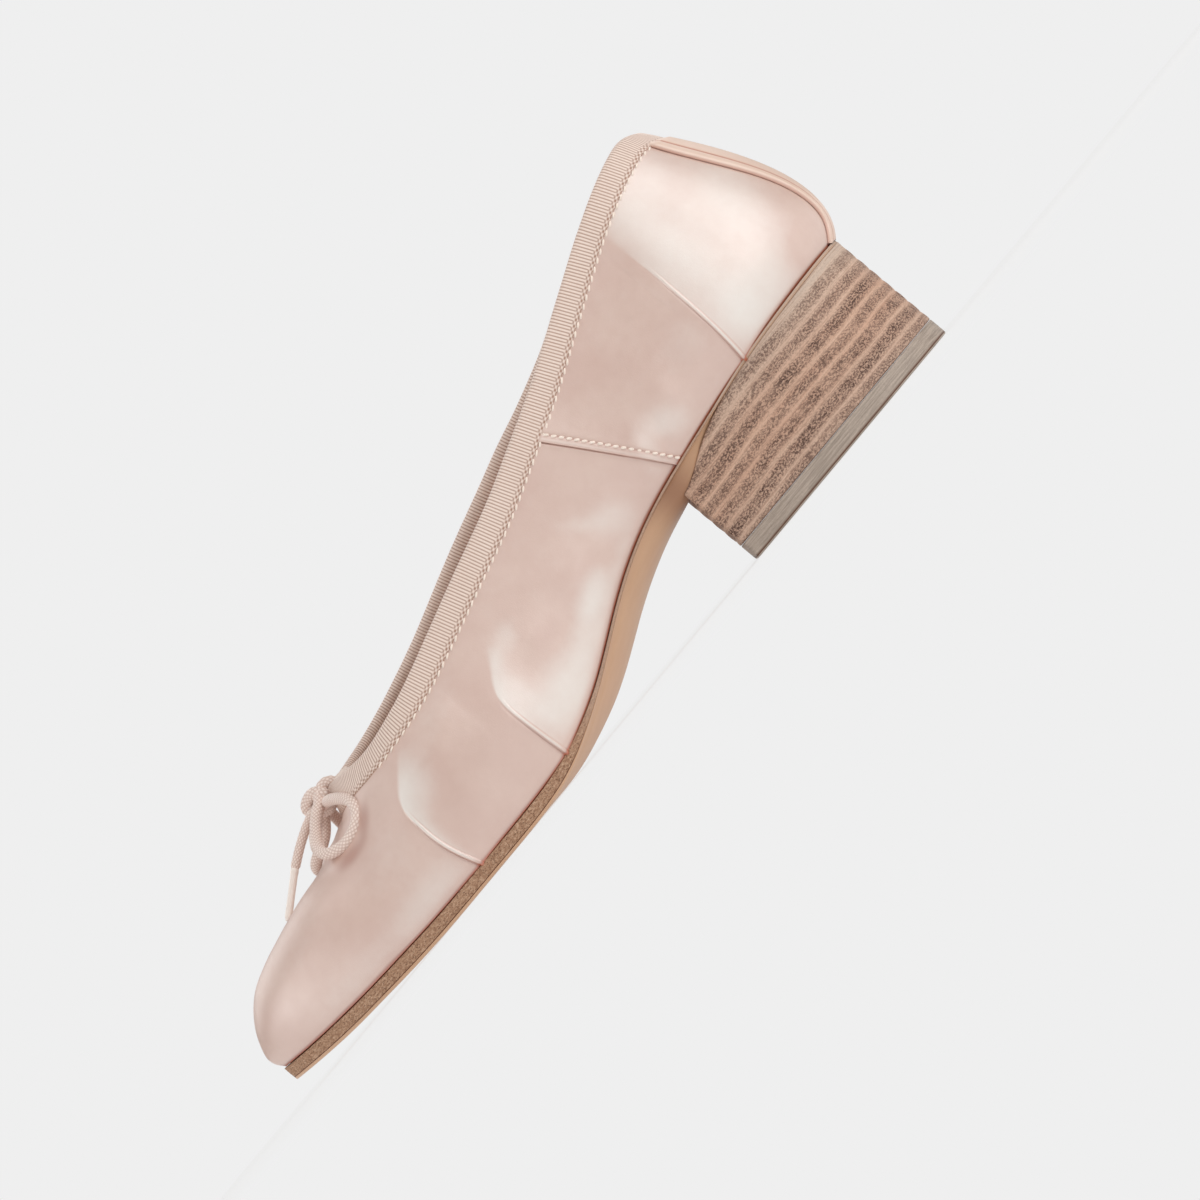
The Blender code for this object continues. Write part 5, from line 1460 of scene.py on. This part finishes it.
def make_outsole():
    s = Sheet("sole_unit")
    for side in SIDE:
        rows = np.concatenate([even_rows(0, 1, 0.9, side), even_rows(1, 2, 1.0, side)[1:], even_rows(2, 3, 1.0, side)[1:],
                               even_rows(3, 4, 0.9, side)[1:], even_rows(4, 5, 0.7, side)[1:]])
        sec = [sole_section(side, r) for r in rows]
        pts = np.array([q[0] for q in sec])
        tone = np.array([q[1] for q in sec])
        slot = sec[0][2][1:]
        # painted shade in the corner between sole and heel breast
        x = pts[..., 0]
        z = pts[..., 2]
        tone = tone - 0.45 * gauss(x - BREAST - 1.0, 9.0) * (slot.max() > 0) * np.concatenate([[0], (slot == 1)])[None, :]
        s.grid(pts, tone=np.clip(tone, 0.0, 1.0), flip=(side == "medial"), slot=slot)
        # the top under the foot, and the walls of the split
        inner = []
        for r, q in zip(rows, sec):
            e = plate_inner(side, r, -SOLE_MARGIN if r > 4.0 else 0.0, 0.0)
            a = q[0][0]
            b = np.array([e[0], e[1], feather_z(e[0]) - GAP])
            inner.append([b, (a + b) / 2 + UP * 0, a])
        inner = np.array(inner)
        inner[:, 1, 2] = feather_z(inner[:, 1, 0]) - GAP
        s.grid(inner, flip=(side == "medial"), slot=0)
        k = rows >= 4.0
        wall, wall_tone = [], []
        for r, q in zip(rows[k], np.nonzero(k)[0]):
            e, low = inner[q, 0], pts[q, -1]
            out = split_outward(side, r) if r < 5.0 else foot_outward(side, r)
            thick = e[2] - low[2]
            h1 = (edge_thick(e[0]) - GAP) * 0.75
            g = 0.20
            col = [(0.20, 0.0, 1.0), (0.03, 0.12, 1.0), (0.0, 0.25, 1.0)] + [(-0.08 * math.sin(math.pi * f), 0.25 + (h1 - 0.25) * f, 1.0) for f in (0.4, 0.8)]
            # painted shade in the groove, as on the outer edge
            col += [(0.02, h1, 0.7), (g, h1 + 0.07, 0.25), (g, h1 + 0.14, 0.25), (0.05, h1 + 0.22, 0.8), (0.05, thick * 0.75 + h1 * 0.25, 1.0),
                    (0.05, thick * 0.92 + h1 * 0.08, 1.0), (0.0, thick, 1.0)]
            wall.append([e - UP * d - out * (i * float(smooth((5.0 - r) / 0.02))) for i, d, _ in col])
            wall_tone.append([c[2] for c in col])
        wall = np.array(wall)
        wall[:, -1] = pts[k, -1]
        s.grid(wall[:, ::-1], tone=np.array(wall_tone)[:, ::-1], flip=(side == "medial"), slot=np.array([1, 1, 1, 1, 0, 0, 0, 0, 0, 0, 0]))
    ob = s.build([edge_material(), bottom_material()], weld=0.003)
    facing_out(ob, place((123, 0, 10)))
    return own(ob, "sole_leather", "outsole")


make_outsole()


# ================================================================ heel
HEEL_PLAN = [(HEEL_END, 27.9, 27.9), (52.0, 27.8, 27.8), (60.0, 27.2, 27.0), (68.0, 26.0, 25.6), (BREAST, 24.2, 23.6)]
HEEL_BACK = 5.6
_h = [r[0] for r in HEEL_PLAN]
heel_half = {"lateral": flat_ends(_h, [r[1] for r in HEEL_PLAN]), "medial": flat_ends(_h, [r[2] for r in HEEL_PLAN])}
LAYERS = [30.2, 26.1, 22.1, 18.0, 14.1, 9.9, 6.2]     # middle heights of the dark bands at the heel's back half


def heel_point(side, row, inset=0.0):
    k = SIDE[side]
    if row <= 1.0:
        c, s = superellipse(90.0 * row, HEEL_POWER)
        return np.array([HEEL_END - (HEEL_END - HEEL_BACK - inset) * c, k * (heel_half[side](HEEL_END) - inset) * s])
    x = HEEL_END + (BREAST - inset - HEEL_END) * (row - 1.0)
    return np.array([x, k * (heel_half[side](x) - inset)])


def heel_top(x, y):
    f = outline_fraction(x, y)
    z = feather_z(x) - edge_thick(x) - crown_drop(x) * (1 - f ** crown_power(x))
    return z - 0.03


def layer_sag(x):
    """How far the stack's layers bend down towards the front."""
    return 1.6 * smooth((x - 50.0) / 27.0) ** 1.2 - 0.3


def stack_material():
    m = Mat("heel_stack", rough=0.62, specular=0.3)
    # height measured along the layers, which bend down towards the front
    x, z = m.axis("X"), m.axis("Z")
    sag = m.remap(x, 50.0 - MID_STATION, 77.0 - MID_STATION, 0.0, 1.6)
    wob = m.math("MULTIPLY", m.math("SUBTRACT", m.noise(14.0, 2.0, 0.5, vector=m.stretch((1.0, 1.0, 0.3))), 0.5), 1.5)
    h = m.math("ADD", m.math("ADD", z, sag), wob)
    band = None
    for k, mid in enumerate(LAYERS):
        wide = (1.45, 1.30, 1.50, 1.25, 1.45, 1.45, 1.15)[k]
        depth = (0.70, 0.82, 1.0, 0.80, 0.90, 1.0, 0.75)[k]
        d = m.math("ABSOLUTE", m.math("SUBTRACT", h, mid))
        b = m.math("MULTIPLY", m.remap(d, wide * 0.50, wide * 1.54, 1.0, 0.0), depth)
        band = b if band is None else m.math("MAXIMUM", band, b)
    grit = m.noise(0.46, 3.0, 0.75, vector=m.stretch((0.8, 0.8, 1.25)))
    cells = m.voronoi(0.80, vector=m.stretch((0.8, 0.8, 1.3)), randomness=1.0)
    patch = m.noise(6.0, 2.0, 0.6)
    amount = m.math("MULTIPLY", band, m.remap(patch, 0.25, 0.65, 0.65, 1.15))
    dark = m.math("MULTIPLY", amount, m.remap(grit, 0.45, 0.56, 0.0, 1.0))
    light = m.math("MULTIPLY", amount, m.remap(cells, 0.10, 0.26, 0.65, 0.0))
    tan = m.ramp(m.remap(z, 5.0, 33.0, soft=False), [(0.0, rgb(204, 174, 154)), (0.35, rgb(206, 166, 142)), (0.60, rgb(208, 168, 144)),
                                                    (0.85, rgb(208, 178, 158)), (1.0, rgb(198, 178, 162))])
    streak = m.noise(1.7, 4.0, 0.70, vector=m.stretch((0.10, 0.10, 2.6)))
    tan = m.mix(m.math("MULTIPLY", m.remap(streak, 0.3, 0.7), 0.42), tan, rgb(222, 194, 172))
    line = m.noise(1.1, 3.0, 0.7, vector=m.stretch((0.07, 0.07, 2.8)))
    tan = m.mix(m.math("MULTIPLY", m.remap(line, 0.48, 0.66), 0.45), tan, rgb(160, 122, 102))
    base = m.mix(m.math("MULTIPLY", m.remap(grit, 0.50, 0.62), 0.20), tan, rgb(120, 92, 80))
    base = m.mix(m.math("MULTIPLY", amount, 0.42), base, rgb(168, 130, 110))
    base = m.mix(m.math("MULTIPLY", dark, 0.85), base, rgb(84, 60, 52))
    base = m.mix(m.math("MULTIPLY", light, 0.35), base, rgb(214, 184, 160))
    base = m.mix(m.remap(m.attribute("tone"), 0.2, 1.0), rgb(96, 52, 30), base)
    bumpy = m.math("SUBTRACT", m.math("MULTIPLY", grit, 0.4), m.math("MULTIPLY", dark, 0.6))
    return m.done(base, normal=m.bump(bumpy, 0.20, 0.8))


def lift_material():
    m = Mat("heel_lift", rough=0.5, specular=0.4)
    brush = m.noise(0.8, 4.0, 0.7, vector=m.stretch((0.10, 0.10, 2.4)))
    fine = m.noise(0.30, 3.0, 0.7)
    base = m.mix(m.remap(brush, 0.3, 0.7), rgb(150, 136, 124), rgb(190, 174, 160))
    base = m.mix(m.math("MULTIPLY", m.remap(fine, 0.4, 0.7), 0.30), base, rgb(120, 107, 98))
    base = m.mix(m.remap(m.attribute("tone"), 0.2, 1.0), rgb(96, 62, 42), base)
    return m.done(base, normal=m.bump(m.math("ADD", brush, fine), 0.05, 0.7))


def heel_rows(step):
    r = np.linspace(0, 2, 2000)
    q = np.array([heel_point("lateral", x) for x in r])
    d = np.concatenate([[0.0], np.cumsum(np.linalg.norm(np.diff(q, axis=0), axis=1))])
    n = int(round(d[-1] / step))
    return np.interp(np.linspace(0, d[-1], n + 1), d, r)


def make_heel_piece(name, mats, slot, node, profile, cols, bottom_flat):
    """profile(x, y) gives rows of (height, inset, tone) up the side."""
    s = Sheet(name)
    rows = heel_rows(0.9)
    walls = {}
    for side in SIDE:
        wall, tones = [], []
        for r in rows:
            x, y = heel_point(side, r)
            col, tn = [], []
            for h, inset, t in profile(x, y):
                q = heel_point(side, r, inset)
                col.append([q[0], q[1], h])
                tn.append(t)
            wall.append(col)
            tones.append(tn)
        walls[side] = (np.array(wall), np.array(tones))
        s.grid(walls[side][0], tone=walls[side][1], flip=(side == "lateral"))
    # breast: between the two sides at the front, then top and bottom bars across
    a, b = walls["lateral"][0][-1], walls["medial"][0][-1]
    ta = walls["lateral"][1][-1]
    k = np.linspace(0, 1, 41)
    breast = a[:, None, :] * (1 - k)[None, :, None] + b[:, None, :] * k[None, :, None]
    for i in range(breast.shape[1]):
        if 0 < i < breast.shape[1] - 1:
            breast[-1, i, 2] = profile(breast[-1, i, 0], breast[-1, i, 1])[-1][0]
            top_was = a[-1, 2]
            f = (breast[:, i, 2] - a[0, 2]) / (top_was - a[0, 2])
            breast[:-1, i, 2] = a[:-1, 2] + (breast[-1, i, 2] - top_was) * np.clip(f[:-1], 0, 1) ** 3
    s.grid(breast, tone=np.repeat(ta[:, None], len(k), axis=1), flip=False)
    for j, flip in ((-1, True), (0, False)):
        la, me = walls["lateral"][0][:, j], walls["medial"][0][:, j]
        g = la[:, None, :] * (1 - k)[None, :, None] + me[:, None, :] * k[None, :, None]
        if j == -1:
            for i in range(g.shape[0]):
                for c in range(1, g.shape[1] - 1):
                    g[i, c, 2] = profile(g[i, c, 0], g[i, c, 1])[-1][0]
        s.grid(g, flip=flip)
    ob = s.build(mats)
    facing_out(ob, place((40, 0, 15)))
    return own(ob, slot, node)


def stack_profile(x, y):
    top = heel_top(x, y)
    low = LIFT + 0.08
    sag = float(layer_sag(x)) + 0.3
    edges = [0.5 * (p + q) for p, q in zip(LAYERS, LAYERS[1:])]
    out = []
    zs = np.concatenate([[low, low + 0.12, low + 0.35], np.linspace(low + 0.6, top - 0.6, 88), [top - 0.35, top - 0.12, top]])
    for i, z in enumerate(zs):
        h = z + sag
        inset = 0.0
        for e in edges:
            inset += 0.13 * math.exp(-((h - e) / 0.20) ** 2)
        inset += 0.05 * math.cos(h * 1.55)
        tone = 1.0 - 0.18 * sum(math.exp(-((h - e) / 0.20) ** 2) for e in edges)
        if i == 0 or i == len(zs) - 1:
            inset += 0.28 if i == 0 else 0.12
            tone = 0.3 if i == 0 else 0.8
        if i in (1, len(zs) - 2):
            inset += 0.08
            tone = 0.6
        out.append((float(z), inset, tone))
    return out


def lift_profile(x, y):
    return [(0.0, 0.45, 0.9), (0.10, 0.16, 0.9), (0.35, 0.02, 0.95), (0.42, 0.0, 0.25), (0.56, 0.07, 0.1), (0.70, 0.0, 0.5), (1.2, 0.0, 1.0),
            (2.4, 0.0, 1.0), (3.6, 0.0, 1.0), (4.6, 0.0, 1.0), (4.80, 0.03, 0.9), (4.93, 0.12, 0.6), (4.98, 0.35, 0.3)]


make_heel_piece("heel_stack", stack_material(), "stacked_leather", "heel_block", stack_profile, 41, False)
make_heel_piece("heel_lift", lift_material(), "grey_lift", "heel_top_piece", lift_profile, 41, True)


# ================================================================ the grosgrain band
RIB = 0.80
BIND_OUT, BIND_IN = 0.27, 2.35       # how far its two faces stand off the topline


def band_normal(side, row):
    lean = math.radians(form_lean(row))
    return UP * math.sin(lean) - collar_inward(side, row) * math.cos(lean)


def band_profile(width):
    """Half of the folded ribbon's section: depth below the top edge, how far out, tone (painted shade under the lower
    edge and on the inner face), share of the woven edge's dots.
    """
    w = width
    out = [(w + 0.02, -0.30, 0.45, 0), (w + 0.12, -0.05, 0.55, 0), (w + 0.06, 0.16, 0.75, 0), (w - 0.14, 0.28, 1.0, 1),
           (w - 0.42, 0.30, 1.0, 1), (w - 0.70, 0.31, 1.0, 1), (w - 0.98, 0.32, 1.0, 1), (w - 1.26, 0.33, 1.0, 0.5), (w - 1.45, 0.34, 1.0, 0)]
    for k in (0.35, 0.7, 1.0):
        d = w - 1.45 - (w - 2.95) * k
        out.append((d, 0.28 + 0.10 * math.sin(math.pi * (0.25 + 0.75 * k)), 1.0, 0))
    for a in (22, 45, 68, 90, 112, 135, 158, 180):
        q = math.radians(a)
        out.append((1.5 - 1.5 * math.sin(q), -1.035 + 1.315 * math.cos(q), 1.0, 0))
    for k in (0.35, 0.7, 1.0):
        out.append((1.5 + (w - 2.1) * k, -2.35, 0.92 - 0.25 * k, 0))
    out += [(w - 0.45, -2.28, 0.6, 0), (w - 0.40, -2.05, 0.5, 0)]
    return out


def band_material():
    m = Mat("grosgrain_rib", rough=0.60, specular=0.35, sheen=0.15, sheen_rough=0.4)
    tone = m.attribute("tone")
    base = m.mix(m.noise(6.0, 3.0, 0.5), rgb(234, 214, 202), rgb(242, 225, 214))
    base = m.mix(m.remap(m.noise(0.45, 3.0, 0.7), 0.45, 0.75, 0.0, 0.25), base, rgb(210, 182, 166))
    # tone below 1: painted shade
    base = m.mix(m.remap(tone, 0.40, 0.95), rgb(158, 116, 94), base)
    thread = m.noise(0.22, 2.0, 0.7)
    return m.done(base, normal=m.bump(thread, 0.05, 0.7))


def topline(side):
    r = np.linspace(0, 3, 4001)
    q = np.array([collar_point(side, x) - band_direction(side, x) * 4.0 for x in r])
    d = np.concatenate([[0.0], np.cumsum(np.linalg.norm(np.diff(q, axis=0), axis=1))])
    return r, d


TOPLINE = {side: topline(side) for side in SIDE}


def make_band():
    """The folded ribbon, its ribs square to its edges."""
    s = Sheet("grosgrain_band")
    for side in SIDE:
        r, d = TOPLINE[side]
        count = int(round(d[-1] / RIB))
        l = np.linspace(0, d[-1], count * 5 + 1)
        fine = np.linspace(0, d[-1], 1400)
        rows = np.interp(fine, d, r)
        c = np.array([collar_point(side, x) for x in rows])
        dn = np.array([band_direction(side, x) for x in rows])
        nm = np.array([band_normal(side, x) for x in rows])
        w = np.array([band_width(x) for x in rows])
        mid = c - dn * 4.0
        t = np.gradient(mid, fine, axis=0)
        t /= np.linalg.norm(t, axis=1)[:, None]
        lean = np.convolve(np.pad((dn * t).sum(axis=1), 20, mode="edge"), np.ones(41) / 41, mode="valid")
        lean[0] = lean[-1] = 0.0
        slope = np.interp(l, fine, lean)
        wave = np.cos(2 * math.pi * l * count / d[-1])
        rib = (0.5 + 0.5 * wave) ** 0.6
        n_prof = len(band_profile(6.0))
        pts, lift, tones = (np.empty((len(l), n_prof) + q) for q in ((3,), (), ()))
        for k in range(n_prof):
            u0 = np.array([band_profile(x)[k][0] for x in np.interp(l, fine, w)])
            at = np.clip(l + (u0 - 4.0) * slope, 0, d[-1])
            at[0], at[-1] = 0.0, d[-1]
            pick = lambda q: np.stack([np.interp(at, fine, q[:, i]) for i in range(3)], axis=1)
            form = np.array([band_profile(x)[k] for x in np.interp(at, fine, w)])
            pts[:, k] = pick(c) - pick(dn) * form[:, :1] + pick(nm) * form[:, 1:2]
            row = np.interp(at, fine, rows)
            fade = smooth((3.0 - row) / 0.05)
            dots = np.cos(math.pi * l * count / d[-1]) * math.cos(2 * math.pi * (float(w[0]) - float(u0[0])) / 1.15)
            share = form[:, 3]
            lift[:, k] = (0.075 * (rib - 0.6) * (1 - share) + 0.07 * dots * share) * fade
            # tone: painted shade in the ribs' hollows and the woven edge's dimples; darker towards the throat's front
            weave = (0.46 + 0.54 * rib) * (1 - share) + (0.70 + 0.30 * dots) * share
            tones[:, k] = form[:, 2] * weave * (1 - 0.30 * smooth((row - 2.62) / 0.25))
        s.grid(pts, lift, tones, flip=(side == "lateral"))
    ob = s.build(band_material(), weld=0.002)
    return own(ob, "grosgrain", "collar_binding")


make_band()


def make_fold():
    """The band's end folded over, where the cords come out."""
    s = Sheet("throat_fold")
    path, _ = along([(178.6, 1.5, 42.6), (180.6, 1.7, 43.0), (182.8, 1.7, 43.25), (185.0, 1.6, 43.35)], 0.25)
    k = np.linspace(0, 1, len(path))
    radius = 1.75 * np.sqrt(np.clip(smooth(k / 0.35), 0.02, 1)) * (1 - 0.12 * smooth((k - 0.85) / 0.15))
    tube(s, path, radius, 40)
    return own(s.build(band_material()), "grosgrain", "collar_binding")


make_fold()


# ================================================================ the back strip
def strip_material():
    m = Mat("strip_satin", rough=0.46, specular=0.5)
    m.p.inputs["IOR"].default_value = 2.2
    base = m.mix(m.noise(8.0, 2.0), rgb(222, 190, 170), rgb(230, 202, 184))
    # tone below 1: painted shade, orange-brown
    base = m.mix(m.remap(m.attribute("tone"), 0.15, 1.0), rgb(178, 92, 56), base)
    grain = m.math("ADD", m.noise(0.20, 2.0, 0.65, vector=m.stretch((1, 1, 0.3))), m.noise(0.20, 2.0, 0.65, vector=m.stretch((0.3, 0.3, 1))))
    return m.done(base, normal=m.bump(grain, 0.02, 1.0))


def make_strip():
    s = Sheet("heel_strip")
    across = [0.0, 0.15, 0.3, 0.45, 0.58, 0.66, 0.715, 0.745, 0.775, 0.81, 0.85, 0.89, 0.925, 0.95, 0.97, 0.985, 1.0]
    rise = [0.62, 0.63, 0.64, 0.65, 0.66, 0.68, 0.66, 0.52, 0.50, 0.66, 0.72, 0.74, 0.74, 0.68, 0.52, 0.34, 0.10]
    # painted shade in the groove between the folds and at the tucked-in edge
    tone = [1, 1, 1, 1, 1, 1, 0.95, 0.40, 0.45, 0.98, 1, 1, 1, 1, 0.95, 0.8, 0.5]
    for side in SIDE:
        sk = SKIN[side]
        edge = strip_row(sk.v)
        at = lambda rows: np.stack([[np.interp(rows[j], sk.rows, sk.pts[:, j, c]) for c in range(3)] for j in range(N_COLS)])
        p = np.array([at(edge * a) for a in across])
        q = np.array([at(edge * a + 4e-3) - at(np.maximum(edge * a - 4e-3, 0.0)) for a in across])
        b = np.gradient(p, axis=1)
        n = np.cross(q, b) * -SIDE[side]
        n[0, :, 1] = 0
        n /= np.linalg.norm(n, axis=2)[..., None]
        out = p + n * (np.array(rise)[:, None, None] + 0.25)
        out[-1] = p[-1] - n[-1] * 0.1
        # its top end, tucked in under the band
        up = np.array([band_direction(side, edge[-1] * a) for a in across])
        up[0, 1] = 0
        top, nt = p[:, -1], n[:, -1]
        w = ((np.array(rise) + 0.25) / 0.93)[:, None]
        w[-1] = -0.1
        cap = np.stack([top + nt * 0.66 * w, top + up * 0.6 + nt * 0.40 * w, top + up * 1.5 + nt * 0.16 * w, top + up * 3.0 + nt * 0.0], axis=1)
        body = np.concatenate([out[:, 1:-1], cap], axis=1)
        s.grid(body, tone=np.repeat(np.array(tone)[:, None], body.shape[1], axis=1), flip=(side == "lateral"))
    return own(s.build(strip_material()), "satin_strip", "back_strip")


make_strip()


# ================================================================ stitches
def thread_material(name="thread"):
    m = Mat(name, rough=0.6, specular=0.35, sheen=0.2)
    base = m.mix(m.noise(0.5, 2.0), rgb(240, 222, 207), rgb(252, 240, 229))
    return m.done(base, normal=m.bump(m.noise(0.18, 2.0, 0.6), 0.04, 0.7))


THREAD = thread_material()


def stitches(name, spots, length, width, height, slot="satin"):
    """One mesh of small rounded stitches. spots: (centre, direction, normal) in millimetres."""
    s = Sheet(name)
    a = np.linspace(0, 2 * math.pi, 9)
    for c, d, n in spots:
        d, n = d / np.linalg.norm(d), n / np.linalg.norm(n)
        side = np.cross(n, d)
        rings = []
        for k in np.linspace(-1, 1, 9):
            r = math.sqrt(max(1 - abs(k) ** 2.6, 0.0)) + 1e-4
            dip = -0.55 * height * abs(k) ** 3
            rings.append([c + d * (k * length / 2) + side * (math.cos(q) * width / 2 * r)
                          + n * (math.sin(q) * height / 2 * r + dip) for q in a])
        s.grid(rings, flip=False)
    return own(s.build(THREAD, weld=0.0005), slot)


def surface_frame(side, row, v, along_v=False):
    """Point of the finished satin, its direction along a line and its normal."""
    e = 3e-3
    p = section(side, row, np.array([v]))[0]
    a = section(side, min(row + e, 5.0), np.array([v]))[0] - section(side, max(row - e, 0.0), np.array([v]))[0]
    b = section(side, row, np.array([min(v + e, 1.0)]))[0] - section(side, row, np.array([max(v - e, 0.0)]))[0]
    n = np.cross(a, b) * -SIDE[side]
    return p, a / np.linalg.norm(a), b / np.linalg.norm(b), n / np.linalg.norm(n)


def make_stitches():
    spots = []
    for side in SIDE:
        r, d = TOPLINE[side]
        pitch = 2.3
        n = int(d[-1] / pitch)
        for k in range(n):
            at = (k + 0.5) * d[-1] / n
            row = float(np.interp(at, d, r))
            if row > 2.93 or collar_point(side, row)[0] > 172:
                continue
            c, dn, nm = collar_point(side, row), band_direction(side, row), band_normal(side, row)
            c2 = collar_point(side, row + 1e-3)
            t = (c2 - band_direction(side, row + 1e-3) * band_width(row + 1e-3)) - (c - dn * band_width(row))
            t /= np.linalg.norm(t)
            w = band_width(row)
            spots.append((c - dn * (w + 0.34) + nm * 0.16, t - dn * 0.34, nm))
    stitches("band_stitches", spots, 1.85, 0.55, 0.46, "grosgrain")
    spots = []
    for side in SIDE:
        sk = SKIN[side]
        zs = np.linspace(SEAM_LOW[1] + 0.6, SEAM_HIGH[1] + 2.0, 400)
        path = []
        for j in range(N_COLS):
            # where the stitch row, 1.8 mm heelward of the seam, crosses this column
            s_, z_ = sk.pts[:, j, 0], sk.pts[:, j, 2]
            f = s_ - (SEAM(z_) - 1.6 * 1.13)
            ok = (sk.rows > 0.9) & (sk.rows < 1.9)
            i = np.nonzero((f[:-1] <= 0) & (f[1:] > 0) & ok[:-1])[0]
            if len(i):
                i = i[0]
                k = -f[i] / (f[i + 1] - f[i])
                path.append((sk.rows[i] + (sk.rows[i + 1] - sk.rows[i]) * k, sk.v[j]))
        path = np.array(path)
        pts = np.array([section(side, r, np.array([v]))[0] for r, v in path])
        d = np.concatenate([[0.0], np.cumsum(np.linalg.norm(np.diff(pts, axis=0), axis=1))])
        n = int(d[-1] / 1.88)
        for k in range(n):
            at = (k + 0.5) * d[-1] / n
            r, v = np.interp(at, d, path[:, 0]), np.interp(at, d, path[:, 1])
            r2, v2 = np.interp(at + 0.3, d, path[:, 0]), np.interp(at + 0.3, d, path[:, 1])
            p, _, _, nm = surface_frame(side, r, v)
            q = surface_frame(side, r2, v2)[0]
            spots.append((p + nm * 0.52, q - p + np.cross(nm, q - p) * 0.22, nm))
    stitches("seam_stitches", spots, 1.60, 0.74, 0.60)


make_stitches()


# ================================================================ floor and light
def make_floor():
    """A pale floor. Near the shoe it takes shadows; further out it only glows as evenly as the backdrop."""
    me = bpy.data.meshes.new("floor")
    k = 6.0
    me.from_pydata([(-k, -k, -0.00005), (k, -k, -0.00005), (k, k, -0.00005), (-k, k, -0.00005)], [], [(0, 1, 2, 3)])
    m = Mat("floor_paper", rough=0.9, specular=0.0)
    n = m.t.nodes.new("ShaderNodeVectorMath")
    n.operation = "LENGTH"
    m.link(m.mm, n.inputs[0])
    near = m.remap(n.outputs["Value"], 300.0, 1000.0, 1.0, 0.0)
    m.p.inputs["Emission Color"].default_value = rgb(239, 239, 239)
    m.put(m.p.inputs["Emission Strength"], m.math("SUBTRACT", 1.0, m.math("MULTIPLY", near, FLOOR_TAKES)))
    paper = m.mix(m.noise(1.2, 3.0, 0.6), rgb(FLOOR_GREY - 3, FLOOR_GREY - 3, FLOOR_GREY - 3), rgb(FLOOR_GREY, FLOOR_GREY, FLOOR_GREY))
    me.materials.append(m.done(m.mix(near, (0.0, 0.0, 0.0, 1.0), paper)))
    ob = bpy.data.objects.new("floor", me)
    bpy.context.scene.collection.objects.link(ob)


def make_world():
    w = bpy.data.worlds.new("studio")
    bpy.context.scene.world = w
    w.use_nodes = True
    t = w.node_tree
    t.nodes.clear()
    out = t.nodes.new("ShaderNodeOutputWorld")
    seen, lit = t.nodes.new("ShaderNodeBackground"), t.nodes.new("ShaderNodeBackground")
    seen.inputs["Color"].default_value = rgb(239, 239, 239)
    lit.inputs["Color"].default_value = (1.0, 1.0, 1.0, 1.0)
    lit.inputs["Strength"].default_value = 0.18
    path, mix = t.nodes.new("ShaderNodeLightPath"), t.nodes.new("ShaderNodeMixShader")
    t.links.new(path.outputs["Is Camera Ray"], mix.inputs[0])
    t.links.new(lit.outputs[0], mix.inputs[1])
    t.links.new(seen.outputs[0], mix.inputs[2])
    t.links.new(mix.outputs[0], out.inputs["Surface"])


def softbox(name, place_at, look_at, size, power, colour=(0.955, 0.945, 0.935)):
    l = bpy.data.lights.new(name, "AREA")
    l.shape = "RECTANGLE"
    l.size, l.size_y = size
    l.energy = power
    l.color = colour
    ob = bpy.data.objects.new(name, l)
    ob.location = place_at
    ob.rotation_euler = (Vector(look_at) - Vector(place_at)).to_track_quat("-Z", "Y").to_euler()
    ob.visible_camera = False
    bpy.context.scene.collection.objects.link(ob)
    return ob


FLOOR_TAKES, FLOOR_GREY = 0.35, 160
make_floor()
make_world()
SOFTBOXES = [  # degrees round from the camera's side towards the heel, degrees up, width, height, watts
    ("key_high", 38, 35, 1.0, 0.9, 4.6), ("key_low", 40, 8, 0.9, 0.35, 3.6),
    ("heel_high", 70, 35, 0.9, 0.9, 4.0), ("heel_low", 70, 8, 0.9, 0.35, 3.2),
    ("toe_low", -42, 12, 1.3, 0.8, 3.0), ("toe_high", -75, 35, 0.9, 0.9, 4.6), ("toe_far", -82, 12, 1.2, 0.8, 3.0),
    ("back", -150, 35, 0.9, 0.9, 4.0), ("back_heel", 150, 30, 0.9, 0.9, 4.0), ("top", 0, 88, 1.0, 1.0, 3.0),
]
for name, turn, rise, wide, high, power in SOFTBOXES:
    a, e = math.radians(turn), math.radians(rise)
    softbox(name + "_softbox", (-1.5 * math.sin(a) * math.cos(e), 1.5 * math.cos(a) * math.cos(e), 0.05 + 1.5 * math.sin(e)),
            (0.0, 0.0, 0.05), (wide, high), power)
bpy.context.scene.view_settings.view_transform = "Standard"
bpy.context.scene.view_settings.look = "None"
